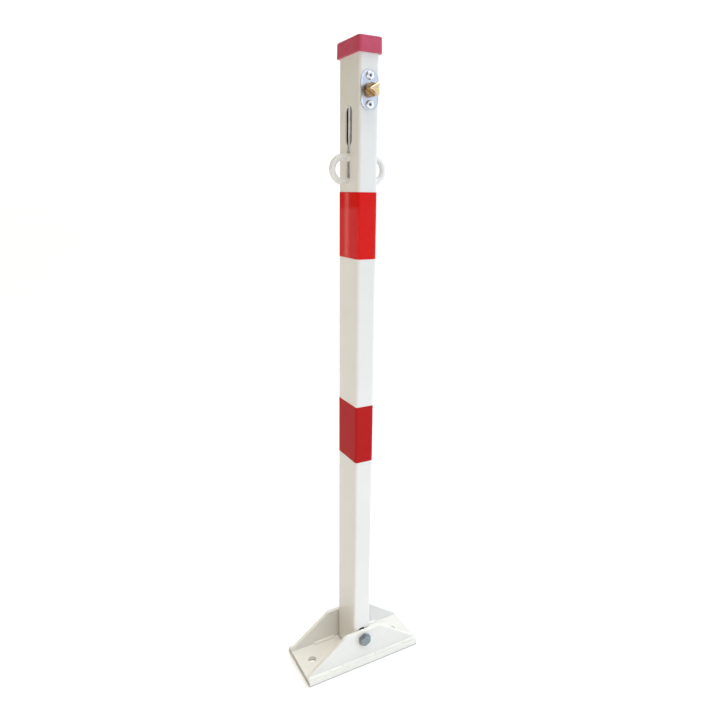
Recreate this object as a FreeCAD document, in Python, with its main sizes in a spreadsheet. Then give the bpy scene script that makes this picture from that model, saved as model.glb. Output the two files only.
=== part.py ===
"""Fold-down street bollard with a triangular-key lock and two welded chain eyes.

Units are millimetres and +Z is up. The origin is the centre of the base plate's underside.
X runs along the base's long side, which is the direction the post folds in, and the lock
plate and the hinge bolt's head face -Y. The post is modelled upright and unlocked.
"""
import FreeCAD, Part
import os
import re

import Sketcher

# Every size that can be set by itself: (alias, value, what it measures).
DIMENSIONS = [
    # base
    ("plate_long", 210, "base plate along X"),
    ("plate_wide", 92, "base plate along Y"),
    ("plate_thick", 8, "base plate thickness"),
    ("plate_corner", 2, "base plate corner radius"),
    ("anchor_spacing", 160, "distance between the two anchor holes"),
    ("anchor_bore", 14, "anchor hole diameter"),
    ("side_clear", 2, "gap from the post tube to each side plate"),
    ("side_thick", 6, "side plate thickness"),
    ("side_rise", 55, "side plate height above the base plate"),
    ("side_top_long", 66, "side plate's level top edge along X"),
    ("side_end_rise", 3, "upright step at each end of a side plate"),
    ("side_corner", 3, "radius on the side plate's upper corners"),
    ("pivot_rise", 40, "hinge axis above the base plate"),
    ("weld_leg", 4, "leg of a fillet weld"),
    ("weld_gap", 1.5, "step between two weld runs"),
    ("inner_weld_long", 38, "length of an inner weld run"),
    ("inner_weld_start", 24, "inner weld run's near end from the hinge plane"),
    # hinge
    ("bolt_shank", 12, "hinge bolt diameter"),
    ("bolt_clear", 0.5, "side plate hole's excess over the bolt"),
    ("bolt_across", 19, "hinge bolt and nut across flats"),
    ("bolt_head_tall", 7.5, "hinge bolt head height"),
    ("nut_tall", 8.5, "height of the thin lock nut"),
    ("nut_collar_tall", 2.5, "rounded collar on the lock nut"),
    ("washer_across", 24, "hinge washer diameter"),
    ("washer_thick", 1.5, "hinge washer thickness"),
    ("thread_stick_out", 0.5, "bolt end past the lock nut"),
    ("insert_tall", 2, "nylon ring in the lock nut"),
    ("bush_wall", 1, "pivot bush barrel's outer radius less the bolt's"),
    ("bush_flange_reach", 2.25, "pivot bush flange's radius less the bolt's"),
    ("bush_flange_thick", 1.5, "pivot bush flange thickness"),
    ("bush_inside", 2, "pivot bush barrel past the tube's inner face"),
    ("running_fit", 0.15, "excess of a bore over its shaft"),
    ("seat_fit", 0.1, "excess of a hole over the piece set in it"),
    # post
    ("tube_thick", 30, "post tube along X"),
    ("tube_wide", 60, "post tube along Y"),
    ("tube_wall", 2, "post tube wall"),
    ("tube_corner", 4, "post tube outer corner radius"),
    ("foot_clear", 0.54, "swing gap from the post's foot corner to the base plate"),
    ("post_top", 974, "top end of the tube above the ground"),
    ("drain_long", 11, "drain slot along X"),
    ("drain_tall", 8, "drain slot along Z"),
    ("drain_web", 1.5, "metal between the drain slot and the bush below it"),
    # cap
    ("cap_skirt", 17, "cap skirt below the tube's top end"),
    ("cap_roof", 3, "cap roof thickness"),
    ("cap_wall", 3.5, "cap skirt wall"),
    ("cap_fit", 0.2, "cap skirt's gap to the tube"),
    ("cap_corner", 6, "cap upright corner radius"),
    ("cap_edge", 1.6, "cap top edge radius"),
    ("plug_deep", 15, "cap plug below the tube's top end"),
    ("plug_wall", 2, "cap plug wall"),
    ("plug_fit", 0.2, "cap plug's gap to the tube"),
    # reflective bands
    ("band_tall", 92, "height of a reflective band"),
    ("band_thick", 0.3, "thickness of a reflective band"),
    ("band_fit", 0.05, "gap under a reflective band"),
    ("lower_band_base", 375, "lower band's lower edge above the ground"),
    ("upper_band_drop", 192, "upper band's upper edge below the tube's top end"),
    # chain eyes and keyhole slots
    ("eye_rod", 8.8, "chain eye rod diameter"),
    ("eye_radius", 16.7, "chain eye centreline radius"),
    ("eye_leg", 8.6, "straight leg of a chain eye outside the tube"),
    ("eye_drop", 161.7, "chain eye centre below the tube's top end"),
    ("eye_weld_leg", 1.4, "weld fillet round a chain eye leg"),
    ("slot_fit", 0.4, "narrow slot's excess over the eye rod"),
    ("keyhole_wide", 19.5, "width of the keyhole slot's upper part"),
    ("keyhole_tall", 52.5, "height of the keyhole slot's upper part"),
    ("keyhole_drop", 78.5, "keyhole slot's upper end below the tube's top end"),
    # lock
    ("lock_drop", 62, "key spindle axis below the tube's top end"),
    ("lock_plate_wide", 26, "lock plate along X"),
    ("lock_plate_tall", 50, "lock plate along Z"),
    ("lock_plate_thick", 1.5, "lock plate thickness"),
    ("rivet_spacing", 35.6, "distance between the lock plate's rivets"),
    ("rivet_shank", 4.8, "rivet shank diameter"),
    ("rivet_head", 11, "rivet dome head diameter"),
    ("rivet_dome", 2.6, "rivet dome head height"),
    ("rivet_mandrel", 3, "rivet mandrel hole diameter"),
    ("rivet_tail", 7.2, "rivet set tail diameter"),
    ("rivet_tail_long", 4, "rivet set tail length"),
    ("housing_flange_tall", 46, "lock housing flange along Z"),
    ("housing_flange_thick", 3, "lock housing flange thickness"),
    ("housing_barrel", 20, "lock housing barrel diameter"),
    ("housing_barrel_long", 16, "lock housing barrel behind its flange"),
    ("spindle_journal", 12, "key spindle diameter in its housing"),
    ("spindle_clear", 0.5, "lock hole's excess over the spindle"),
    ("collar_across", 18, "key spindle collar diameter"),
    ("collar_long", 6.2, "key spindle collar length"),
    ("collar_gap", 0.3, "collar's gap to the lock plate"),
    ("key_head_long", 12, "triangular head length"),
    ("key_head_circle", 9.6, "radius of the circle through the triangle's points"),
    ("friction_thick", 0.9, "friction washer thickness"),
    ("friction_across", 20, "friction washer diameter"),
    ("friction_gap", 0.1, "friction washer's gap to the crank disc"),
    ("disc_rim", 1.5, "crank disc's metal outside the crank pin"),
    ("disc_thick", 5, "crank disc thickness"),
    ("tenon_across", 7, "square tenon that drives the crank disc"),
    ("crank_throw", 7, "crank pin's distance from the spindle axis"),
    ("crank_pin_across", 5, "crank pin diameter"),
    ("crank_pin_past", 0.8, "crank pin's end past the locking bar"),
    ("screw_shank", 4, "crank screw diameter"),
    ("screw_deep", 14, "crank screw's depth in the spindle"),
    ("screw_head", 7.6, "crank screw head diameter"),
    ("screw_head_tall", 2.2, "crank screw head height"),
    # locking bar
    ("bar_side_gap", 0.5, "locking bar's gap to the tube at each edge"),
    ("bar_thick", 5, "locking bar along Y"),
    ("bar_face", 1.2, "locking bar's front face from the centre plane"),
    ("bar_top_gap", 3, "locking bar's top end below the cap plug"),
    ("yoke_slack", 0.8, "yoke slot's excess over the crank pin"),
    ("yoke_side_slack", 0.5, "yoke slot's room beside the crank pin's path"),
    ("bar_bolt_slack", 0.8, "bolt slot's excess over the bolt"),
    ("bar_bolt_over_travel", 1, "bolt slot's length past the bar's travel"),
    ("socket_slack_x", 0.7, "base socket's gap at each end of the bar"),
    ("socket_slack_y", 0.6, "base socket's gap at each face of the bar"),
    ("guide_tall", 15, "bar guide height"),
    ("guide_slack", 0.2, "bar guide's gap to the bar"),
    ("guide_chamfer", 2.2, "chamfer that clears the tube's inner corner"),
    ("guide_lower_base", 90, "lower guide's underside above the ground"),
    ("guide_middle_base", 425, "middle guide's underside above the ground"),
    ("guide_upper_drop", 199, "upper guide's top below the tube's top end"),
]

# Shares of the seam that the five weld runs outside each side plate take.
WELD_SHARES = (0.187, 0.110, 0.301, 0.273, 0.129)

# Shares of a hexagon's size across flats: its chamfered face, the nut's collar and the ring's seat.
HEX_FACE_SHARE = 0.45
NUT_COLLAR_SHARE = 0.42
NUT_RING_SHARE = 0.37

# Places and sizes that follow from the driving dimensions.
PIVOT_Z = "(plate_thick + pivot_rise)"
FOOT_Z = f"({PIVOT_Z} - sqrt((pivot_rise - foot_clear)^2 - (tube_thick / 2)^2))"
PLUG_FOOT_Z = "(post_top - plug_deep)"
SIDE_INNER_Y = "(tube_wide / 2 + side_clear)"
SIDE_OUTER_Y = f"({SIDE_INNER_Y} + side_thick)"
NUT_Y = f"({SIDE_OUTER_Y} + washer_thick)"
TUBE_INNER_X = "(tube_thick / 2 - tube_wall)"
TUBE_INNER_Y = "(tube_wide / 2 - tube_wall)"
BUSH_BARREL = "(bolt_shank + 2 * bush_wall)"
BUSH_FLANGE = "(bolt_shank + 2 * bush_flange_reach)"
DRAIN_Z = f"({PIVOT_Z} + {BUSH_BARREL} / 2 + drain_web + drain_tall / 2)"
UPPER_BAND_Z = "(post_top - upper_band_drop - band_tall)"
EYE_Z = "(post_top - eye_drop)"
SLOT_WIDE = "(eye_rod + slot_fit)"
KEYHOLE_TOP_Z = "(post_top - keyhole_drop)"
SHOULDER_Z = f"({KEYHOLE_TOP_Z} - keyhole_tall)"
LOCK_Z = "(post_top - lock_drop)"
LOCK_FACE_Y = "(-tube_wide / 2 - lock_plate_thick)"
COLLAR_Y = f"({LOCK_FACE_Y} - collar_gap)"
KEY_HEAD_Y = f"({COLLAR_Y} - collar_long)"
FLANGE_Y = f"(-{TUBE_INNER_Y} + housing_flange_thick)"
BARREL_Y = f"({FLANGE_Y} + housing_barrel_long)"
DISC_Y = f"({BARREL_Y} + friction_thick + friction_gap)"
DISC_BACK_Y = f"({DISC_Y} + disc_thick)"
PIN_OFFSET = "(crank_throw / sqrt(2))"
BAR_TRAVEL = "(crank_throw * sqrt(2))"
DISC_ACROSS = "(2 * crank_throw + crank_pin_across + 2 * disc_rim)"
BAR_WIDE = f"(2 * {TUBE_INNER_X} - 2 * bar_side_gap)"
BAR_BACK_Y = "(bar_face + bar_thick)"
GUIDE_BASES = {
    "lower": "guide_lower_base",
    "middle": "guide_middle_base",
    "upper": "(post_top - guide_upper_drop - guide_tall)",
}
BAR_TOP_Z = f"({PLUG_FOOT_Z} - bar_top_gap)"

# Directions that a primitive's own axis is turned to: its local X, Y and Z in the model.
VECTOR = FreeCAD.Vector
ALONG_Z = FreeCAD.Rotation()
ALONG_Y = FreeCAD.Rotation(VECTOR(-1, 0, 0), VECTOR(0, 0, 1), VECTOR(0, 1, 0), "ZXY")
ALONG_Y_POINT_UP = FreeCAD.Rotation(VECTOR(0, 0, 1), VECTOR(1, 0, 0), VECTOR(0, 1, 0), "ZXY")
ALONG_X = FreeCAD.Rotation(VECTOR(0, 1, 0), VECTOR(0, 0, 1), VECTOR(1, 0, 0), "ZXY")

doc = FreeCAD.newDocument("FoldDownBollard")
sheet = doc.addObject("Spreadsheet::Sheet", "Dimensions")
ALIASES = re.compile(r"\b(" + "|".join(alias for alias, _, _ in DIMENSIONS) + r")\b")
parts = []


def fill_sheet():
    """Write each driving dimension to a cell with its alias."""
    for row, (alias, value, note) in enumerate(DIMENSIONS, start=1):
        sheet.set(f"A{row}", str(value))
        sheet.setAlias(f"A{row}", alias)
        sheet.set(f"B{row}", note)
    doc.recompute()


def tie(text):
    """Point the aliases in a formula at the spreadsheet."""
    return ALIASES.sub(r"Dimensions.\1", text)


def bind(feature, **formulas):
    """Bind each named property of a feature to its formula."""
    for name, text in formulas.items():
        feature.setExpression(name, tie(text))


def place(feature, corner, rotation=ALONG_Z):
    """Turn a feature and bind its origin to three formulas."""
    feature.Placement = FreeCAD.Placement(VECTOR(), rotation)
    for axis, text in zip("xyz", corner):
        feature.setExpression(f"Placement.Base.{axis}", tie(text))


def keep(label, feature):
    """Name a finished feature as a sub-part and list it for writing."""
    feature.Label = label
    parts.append(feature)
    return feature


def block(name, low, high):
    """Box between two corners given as formulas."""
    feature = doc.addObject("Part::Box", name)
    for side, start, end in zip(("Length", "Width", "Height"), low, high):
        feature.setExpression(side, tie(f"({end}) - ({start})"))
    place(feature, low)
    return feature


def rod(name, radius, start, length, rotation=ALONG_Y):
    """Cylinder from a start point along the chosen axis."""
    feature = doc.addObject("Part::Cylinder", name)
    bind(feature, Radius=radius, Height=length)
    place(feature, start, rotation)
    return feature


def prism(name, sides, radius, start, length, rotation=ALONG_Y):
    """Regular prism from a start point along the chosen axis."""
    feature = doc.addObject("Part::Prism", name)
    feature.Polygon = sides
    bind(feature, Circumradius=radius, Height=length)
    place(feature, start, rotation)
    return feature


def join(name, pieces):
    """One solid from pieces that meet."""
    feature = doc.addObject("Part::MultiFuse", name)
    feature.Shapes = pieces
    feature.Refine = True
    return feature


def common(name, pieces):
    """What the pieces share."""
    feature = doc.addObject("Part::MultiCommon", name)
    feature.Shapes = pieces
    return feature


def group(name, pieces):
    """Separate solids that share one node."""
    feature = doc.addObject("Part::Compound", name)
    feature.Links = pieces
    return feature


def cut(name, body, tools):
    """A body less its tools."""
    feature = doc.addObject("Part::Cut", name)
    feature.Base = body
    feature.Tool = tools[0] if len(tools) == 1 else join(f"{name}_tools", tools)
    return feature


def outline(body, plane, offset, points, name):
    """Closed sketch through points, each held by two dimensions bound to formulas."""
    sketch = body.newObject("Sketcher::SketchObject", name)
    origin = next(item for item in body.Origin.OriginFeatures if item.Role == plane)
    sketch.AttachmentSupport = [(origin, "")]
    sketch.MapMode = "FlatFace"
    sketch.setExpression("AttachmentOffset.Base.z", tie(offset))
    count = len(points)
    turn = FreeCAD.Rotation(VECTOR(0, 0, 1), 360 / count)
    corners = [VECTOR(10, 0, 0)]
    for _ in points[1:]:
        corners.append(turn.multVec(corners[-1]))
    for index in range(count):
        sketch.addGeometry(Part.LineSegment(corners[index], corners[(index + 1) % count]))
    for index in range(count):
        sketch.addConstraint(Sketcher.Constraint("Coincident", index, 2, (index + 1) % count, 1))
    for index, (across, up) in enumerate(points):
        corner = corners[index]
        for kind, start, text in (("DistanceX", corner.x, across), ("DistanceY", corner.y, up)):
            number = sketch.addConstraint(Sketcher.Constraint(kind, index, 1, start))
            sketch.renameConstraint(number, f"{kind}{index}")
            sketch.setExpression(f"Constraints.{kind}{index}", tie(text))
    return sketch


def pad(body, sketch, length, name):
    """Pad a sketch along its normal."""
    feature = body.newObject("PartDesign::Pad", name)
    feature.Profile = sketch
    bind(feature, Length=length)
    doc.recompute()
    return feature


def round_edges(body, base, radius, name, wanted):
    """Fillet the edges of a feature that a test picks out."""
    picked = [f"Edge{n}" for n, edge in enumerate(base.Shape.Edges, start=1) if wanted(edge)]
    feature = body.newObject("PartDesign::Fillet", name)
    feature.Base = (base, picked)
    bind(feature, Radius=radius)
    doc.recompute()
    return feature


def is_along(edge, axis):
    """Whether a straight edge runs along an axis."""
    step = edge.Vertexes[-1].Point - edge.Vertexes[0].Point
    return step.Length > 0 and abs(step.normalize().dot(axis)) > 0.999


def rectangle(half_x, half_y):
    """Corners of a rectangle centred on the origin, anticlockwise from the lower left."""
    return [(f"{a}{half_x}", f"{b}{half_y}") for a, b in (("-", "-"), ("", "-"), ("", ""), ("-", ""))]


def is_upright(edge):
    """Whether an edge runs along Z."""
    return is_along(edge, VECTOR(0, 0, 1))


def rounded_column(name, size_x, size_y, low, high, radius, top_radius=None):
    """Upright block, centred on the axis, with rounded upright corners and, if asked, a rounded top."""
    body = doc.addObject("PartDesign::Body", name)
    sketch = outline(body, "XY_Plane", low, rectangle(f"({size_x}) / 2", f"({size_y}) / 2"), f"{name}_sketch")
    solid = pad(body, sketch, f"({high}) - ({low})", f"{name}_pad")
    solid = round_edges(body, solid, radius, f"{name}_corners", is_upright)
    if top_radius:
        top = solid.Shape.BoundBox.ZMax
        round_edges(body, solid, top_radius, f"{name}_top",
                    lambda edge: all(abs(point.Z - top) < 1e-6 for point in edge.Vertexes))
    return body


def upright_slot(name, wide, low_centre, high_centre, start, length, rotation):
    """Tool for a slot with round ends, upright in a wall, cut along the chosen axis."""
    ends = [rod(f"{name}_{end}", f"({wide}) / 2", (*start[:2], height), length, rotation)
            for end, height in (("low", low_centre), ("high", high_centre))]
    reach = ("0", f"({length})") if rotation is ALONG_X else (f"({wide}) / 2", f"({wide}) / 2")
    depth = (f"({wide}) / 2", f"({wide}) / 2") if rotation is ALONG_X else ("0", f"({length})")
    middle = block(f"{name}_middle",
                   (f"{start[0]} - {reach[0]}", f"{start[1]} - {depth[0]}", low_centre),
                   (f"{start[0]} + {reach[1]}", f"{start[1]} + {depth[1]}", high_centre))
    return join(name, [*ends, middle])


def make_base_plate():
    """Rectangular foot plate with two anchor holes and the locking bar's socket."""
    body = doc.addObject("PartDesign::Body", "base_plate_body")
    corners = rectangle("plate_long / 2", "plate_wide / 2")
    sketch = outline(body, "XY_Plane", "0", corners, "base_plate_sketch")
    solid = pad(body, sketch, "plate_thick", "base_plate_pad")
    round_edges(body, solid, "plate_corner", "base_plate_corners", is_upright)
    holes = []
    for side, sign in (("left", "-"), ("right", "")):
        centre = (f"{sign}anchor_spacing / 2", "0", "0")
        holes.append(rod(f"anchor_{side}", "anchor_bore / 2", centre, "plate_thick", ALONG_Z))
    socket = block("bar_socket", (f"-{BAR_WIDE} / 2 - socket_slack_x", "bar_face - socket_slack_y", "0"),
                   (f"{BAR_WIDE} / 2 + socket_slack_x", f"{BAR_BACK_Y} + socket_slack_y", "plate_thick"))
    keep("base_plate", cut("base_plate", body, [*holes, socket]))


def make_side_plate(side, inner, outer):
    """Trapezoid that stands on the base plate beside the post and carries the hinge bolt."""
    body = doc.addObject("PartDesign::Body", f"side_{side}_body")
    foot, top = "plate_thick", "plate_thick + side_rise"
    points = [("-plate_long / 2", foot), ("plate_long / 2", foot),
              ("plate_long / 2", f"{foot} + side_end_rise"), ("side_top_long / 2", top),
              ("-side_top_long / 2", top), ("-plate_long / 2", f"{foot} + side_end_rise")]
    # The sketch's normal is -Y, so its offset is the plate's rear face with the sign turned.
    sketch = outline(body, "XZ_Plane", f"-({outer})", points, f"side_{side}_sketch")
    solid = pad(body, sketch, "side_thick", f"side_{side}_pad")
    height = solid.Shape.BoundBox.ZMax
    round_edges(body, solid, "side_corner", f"side_{side}_corners",
                lambda edge: is_along(edge, VECTOR(0, 1, 0)) and edge.Vertexes[0].Z > height - 1)
    hole = rod(f"side_{side}_hole", "(bolt_shank + bolt_clear) / 2", ("0", inner, PIVOT_Z), "side_thick")
    keep(f"side_plate_{side}", cut(f"side_plate_{side}", body, [hole]))


def quarter_bead(name, start, length, y, faces_back):
    """Fillet weld run along X in the corner between a side plate and the base plate."""
    feature = doc.addObject("Part::Cylinder", name)
    feature.Angle = 90
    bind(feature, Radius="weld_leg", Height=length)
    # Local X points up or backwards, so that the quarter opens away from the side plate.
    turned = FreeCAD.Rotation(VECTOR(0, 0, 1), VECTOR(0, -1, 0), VECTOR(1, 0, 0), "ZXY")
    place(feature, (start, y, "plate_thick"), ALONG_X if faces_back else turned)
    return feature


def make_outer_welds(side, y, faces_back):
    """Five uneven weld runs outside one side plate."""
    seam = f"(plate_long - {len(WELD_SHARES) + 1} * weld_gap)"
    runs = []
    taken = 0
    for number, share in enumerate(WELD_SHARES, start=1):
        start = f"-plate_long / 2 + {number} * weld_gap + {taken:.3f} * {seam}"
        runs.append(quarter_bead(f"weld_{side}_{number}", start, f"{share} * {seam}", y, faces_back))
        taken += share
    keep(f"weld_beads_{side}", group(f"weld_beads_{side}", runs))


def make_inner_welds():
    """Short weld runs inside the side plates, clear of the post's swinging foot."""
    runs = []
    for side, y, faces_back in (("front", f"-{SIDE_INNER_Y}", True), ("back", SIDE_INNER_Y, False)):
        for end, start in (("left", "-inner_weld_start - inner_weld_long"), ("right", "inner_weld_start")):
            runs.append(quarter_bead(f"inner_weld_{side}_{end}", start, "inner_weld_long", y, faces_back))
    keep("weld_beads_inner", group("weld_beads_inner", runs))


def hexagon(name, start, length):
    """Hexagon along Y with a corner at its top and its corners chamfered at its front end."""
    body = prism(f"{name}_prism", 6, "bolt_across / sqrt(3)", start, length, ALONG_Y_POINT_UP)
    cone = doc.addObject("Part::Cone", f"{name}_cone")
    near = f"{HEX_FACE_SHARE} * bolt_across"
    bind(cone, Radius1=near, Radius2=f"{near} + sqrt(3) * ({length})", Height=length)
    place(cone, start, ALONG_Y)
    return common(name, [body, cone])


def make_hinge():
    """Hinge bolt, rear washer, lock nut with its nylon ring, and the two pivot bushes."""
    head_start = ("0", f"-{SIDE_OUTER_Y} - bolt_head_tall", PIVOT_Z)
    head = hexagon("hinge_bolt_head", head_start, "bolt_head_tall")
    shank_end = f"({NUT_Y} + nut_tall + thread_stick_out)"
    shank = rod("hinge_bolt_shank", "bolt_shank / 2", ("0", f"-{SIDE_OUTER_Y}", PIVOT_Z),
                f"{shank_end} + {SIDE_OUTER_Y}")
    keep("hinge_bolt", join("hinge_bolt", [head, shank]))

    washer_start = ("0", SIDE_OUTER_Y, PIVOT_Z)
    washer = rod("washer_disc", "washer_across / 2", washer_start, "washer_thick")
    washer_hole = rod("washer_hole", "(bolt_shank + bolt_clear) / 2", washer_start, "washer_thick")
    keep("hinge_washer", cut("hinge_washer", washer, [washer_hole]))

    flats = hexagon("nut_flats", ("0", NUT_Y, PIVOT_Z), "nut_tall - nut_collar_tall")
    collar_start = ("0", f"{NUT_Y} + nut_tall - nut_collar_tall", PIVOT_Z)
    collar = rod("nut_collar", f"{NUT_COLLAR_SHARE} * bolt_across", collar_start, "nut_collar_tall")
    bore = rod("nut_bore", "(bolt_shank + seat_fit) / 2", ("0", NUT_Y, PIVOT_Z), "nut_tall")
    ring_y = f"{NUT_Y} + nut_tall - insert_tall"
    ring_seat = rod("nut_ring_seat", f"{NUT_RING_SHARE} * bolt_across", ("0", ring_y, PIVOT_Z), "insert_tall")
    keep("hinge_lock_nut", cut("hinge_lock_nut", join("nut_body", [flats, collar]), [bore, ring_seat]))

    ring_radius = f"{NUT_RING_SHARE} * bolt_across - seat_fit / 2"
    ring = rod("ring_disc", ring_radius, ("0", ring_y, PIVOT_Z), "insert_tall")
    ring_hole = rod("ring_hole", "(bolt_shank + seat_fit) / 2", ("0", ring_y, PIVOT_Z), "insert_tall")
    keep("lock_nut_ring", cut("lock_nut_ring", ring, [ring_hole]))

    barrel_long = "(tube_wall + bush_inside)"
    for side, barrel_y, flange_y in (("front", "-tube_wide / 2", "-tube_wide / 2 - bush_flange_thick"),
                                     ("back", f"tube_wide / 2 - {barrel_long}", "tube_wide / 2")):
        label = f"pivot_bush_{side}"
        barrel = rod(f"{label}_barrel", f"{BUSH_BARREL} / 2", ("0", barrel_y, PIVOT_Z), barrel_long)
        flange = rod(f"{label}_flange", f"{BUSH_FLANGE} / 2", ("0", flange_y, PIVOT_Z), "bush_flange_thick")
        start = flange_y if side == "front" else barrel_y
        hole = rod(f"{label}_bore", "(bolt_shank + running_fit) / 2", ("0", start, PIVOT_Z),
                   f"{barrel_long} + bush_flange_thick")
        keep(label, cut(label, join(f"{label}_body", [barrel, flange]), [hole]))


def make_post_tube():
    """Rectangular steel tube with its keyhole slots, hinge, drain, spindle and rivet holes."""
    outer = rounded_column("tube_outside", "tube_thick", "tube_wide", FOOT_Z, "post_top", "tube_corner")
    inner = rounded_column("tube_inside", f"2 * {TUBE_INNER_X}", f"2 * {TUBE_INNER_Y}",
                           f"{FOOT_Z} - tube_wall", "post_top + tube_wall", "tube_corner - tube_wall")
    side_to_side = ("-tube_thick", "0")
    narrow = upright_slot("keyhole_narrow", SLOT_WIDE, f"{EYE_Z} - eye_radius", SHOULDER_Z,
                          side_to_side, "2 * tube_thick", ALONG_X)
    wide = upright_slot("keyhole_wide", "keyhole_wide", f"{SHOULDER_Z} + keyhole_wide / 2",
                        f"{KEYHOLE_TOP_Z} - keyhole_wide / 2", side_to_side, "2 * tube_thick", ALONG_X)
    front_to_back = ("0", "-tube_wide")
    pivot = rod("pivot_hole", f"({BUSH_BARREL} + seat_fit) / 2", (*front_to_back, PIVOT_Z), "2 * tube_wide")
    half_level = "(drain_long - drain_tall) / 2"
    drain_ends = [rod(f"drain_{side}", "drain_tall / 2", (f"{sign}{half_level}", "-tube_wide", DRAIN_Z),
                      "2 * tube_wide") for side, sign in (("left", "-"), ("right", ""))]
    drain_middle = block("drain_middle", (f"-{half_level}", "-tube_wide", f"{DRAIN_Z} - drain_tall / 2"),
                         (half_level, "tube_wide", f"{DRAIN_Z} + drain_tall / 2"))
    lock_hole = rod("tube_lock_hole", "(spindle_journal + spindle_clear) / 2", (*front_to_back, LOCK_Z),
                    "tube_wide")
    rivet_holes = rivet_hole_tools("tube", "-tube_wide", "tube_wide")
    drain = [*drain_ends, drain_middle]
    keep("post_tube", cut("post_tube", outer, [inner, narrow, wide, pivot, *drain, lock_hole, *rivet_holes]))


def rivet_hole_tools(owner, start_y, length):
    """Two tools for the rivet holes above and below the spindle."""
    return [rod(f"{owner}_rivet_hole_{end}", "(rivet_shank + seat_fit) / 2",
                ("0", start_y, f"{LOCK_Z} {sign} rivet_spacing / 2"), length)
            for end, sign in (("upper", "+"), ("lower", "-"))]


def make_top_cap():
    """Moulded cap that slips over the tube's top end, with a hollow plug inside."""
    foot = "post_top - cap_skirt"
    grow = "2 * (cap_wall + cap_fit)"
    shell = rounded_column("cap_shell", f"tube_thick + {grow}", f"tube_wide + {grow}", foot,
                           "post_top + cap_roof", "cap_corner", "cap_edge")
    hollow = rounded_column("cap_hollow", "tube_thick + 2 * cap_fit", "tube_wide + 2 * cap_fit",
                            f"{foot} - cap_roof", "post_top", "tube_corner + cap_fit")
    plug_x, plug_y = f"2 * ({TUBE_INNER_X} - plug_fit)", f"2 * ({TUBE_INNER_Y} - plug_fit)"
    plug = rounded_column("plug_outside", plug_x, plug_y, PLUG_FOOT_Z, "post_top + cap_roof / 2",
                          "tube_corner - tube_wall")
    bore = rounded_column("plug_inside", f"{plug_x} - 2 * plug_wall", f"{plug_y} - 2 * plug_wall",
                          f"{PLUG_FOOT_Z} - cap_roof", "post_top", "tube_corner - tube_wall")
    skirt = cut("cap_skirt_shell", shell, [hollow])
    keep("top_cap", cut("top_cap", join("cap_with_plug", [skirt, plug]), [bore]))


def make_band(label, base):
    """Thin reflective sleeve round the tube."""
    gap, grow = "2 * band_fit", "2 * (band_fit + band_thick)"
    outer = rounded_column(f"{label}_outside", f"tube_thick + {grow}", f"tube_wide + {grow}", base,
                           f"{base} + band_tall", "tube_corner + band_fit + band_thick")
    inner = rounded_column(f"{label}_inside", f"tube_thick + {gap}", f"tube_wide + {gap}",
                           f"{base} - band_thick", f"{base} + band_tall + band_thick",
                           "tube_corner + band_fit")
    keep(label, cut(label, outer, [inner]))


def make_chain_eye(side, sign):
    """Half ring of round rod with two straight legs, and the weld fillets round the legs."""
    start_x, face_x = f"{sign}{TUBE_INNER_X}", f"{sign}tube_thick / 2"
    outward = VECTOR(-1, 0, 0) if sign == "-" else VECTOR(1, 0, 0)
    along = FreeCAD.Rotation(VECTOR(0, 0, 1), outward)
    legs = [rod(f"eye_{side}_{end}", "eye_rod / 2", (start_x, "0", f"{EYE_Z} {step} eye_radius"),
                "tube_wall + eye_leg", along) for end, step in (("lower", "-"), ("upper", "+"))]
    bow = doc.addObject("Part::Torus", f"eye_{side}_bow")
    bow.Angle3 = 180
    bind(bow, Radius1="eye_radius", Radius2="eye_rod / 2")
    down = VECTOR(0, 0, -1)
    place(bow, (f"{sign}(tube_thick / 2 + eye_leg)", "0", EYE_Z),
          FreeCAD.Rotation(down, outward, down.cross(outward), "ZXY"))
    keep(f"chain_eye_{side}", join(f"chain_eye_{side}", [*legs, bow]))

    welds = []
    for end, step in (("lower", "-"), ("upper", "+")):
        start = (face_x, "0", f"{EYE_Z} {step} eye_radius")
        cone = doc.addObject("Part::Cone", f"eye_weld_{side}_{end}_cone")
        bind(cone, Radius1="eye_rod / 2 + eye_weld_leg", Radius2="eye_rod / 2 + 0.2 * eye_weld_leg",
             Height="eye_weld_leg")
        place(cone, start, along)
        hole = rod(f"eye_weld_{side}_{end}_hole", "(eye_rod + seat_fit) / 2", start, "eye_weld_leg", along)
        welds.append(cut(f"eye_weld_{side}_{end}", cone, [hole]))
    keep(f"eye_welds_{side}", group(f"eye_welds_{side}", welds))


def make_lock_plate():
    """Stadium-shaped plate on the post's front face."""
    start = ("0", LOCK_FACE_Y)
    half_run = "(lock_plate_tall - lock_plate_wide) / 2"
    plate = upright_slot("lock_plate_blank", "lock_plate_wide", f"{LOCK_Z} - {half_run}",
                         f"{LOCK_Z} + {half_run}", start, "lock_plate_thick", ALONG_Y)
    hole = rod("plate_lock_hole", "(spindle_journal + spindle_clear) / 2", (*start, LOCK_Z),
               "lock_plate_thick")
    rivet_holes = rivet_hole_tools("plate", LOCK_FACE_Y, "lock_plate_thick")
    keep("lock_plate", cut("lock_plate", plate, [hole, *rivet_holes]))


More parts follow.
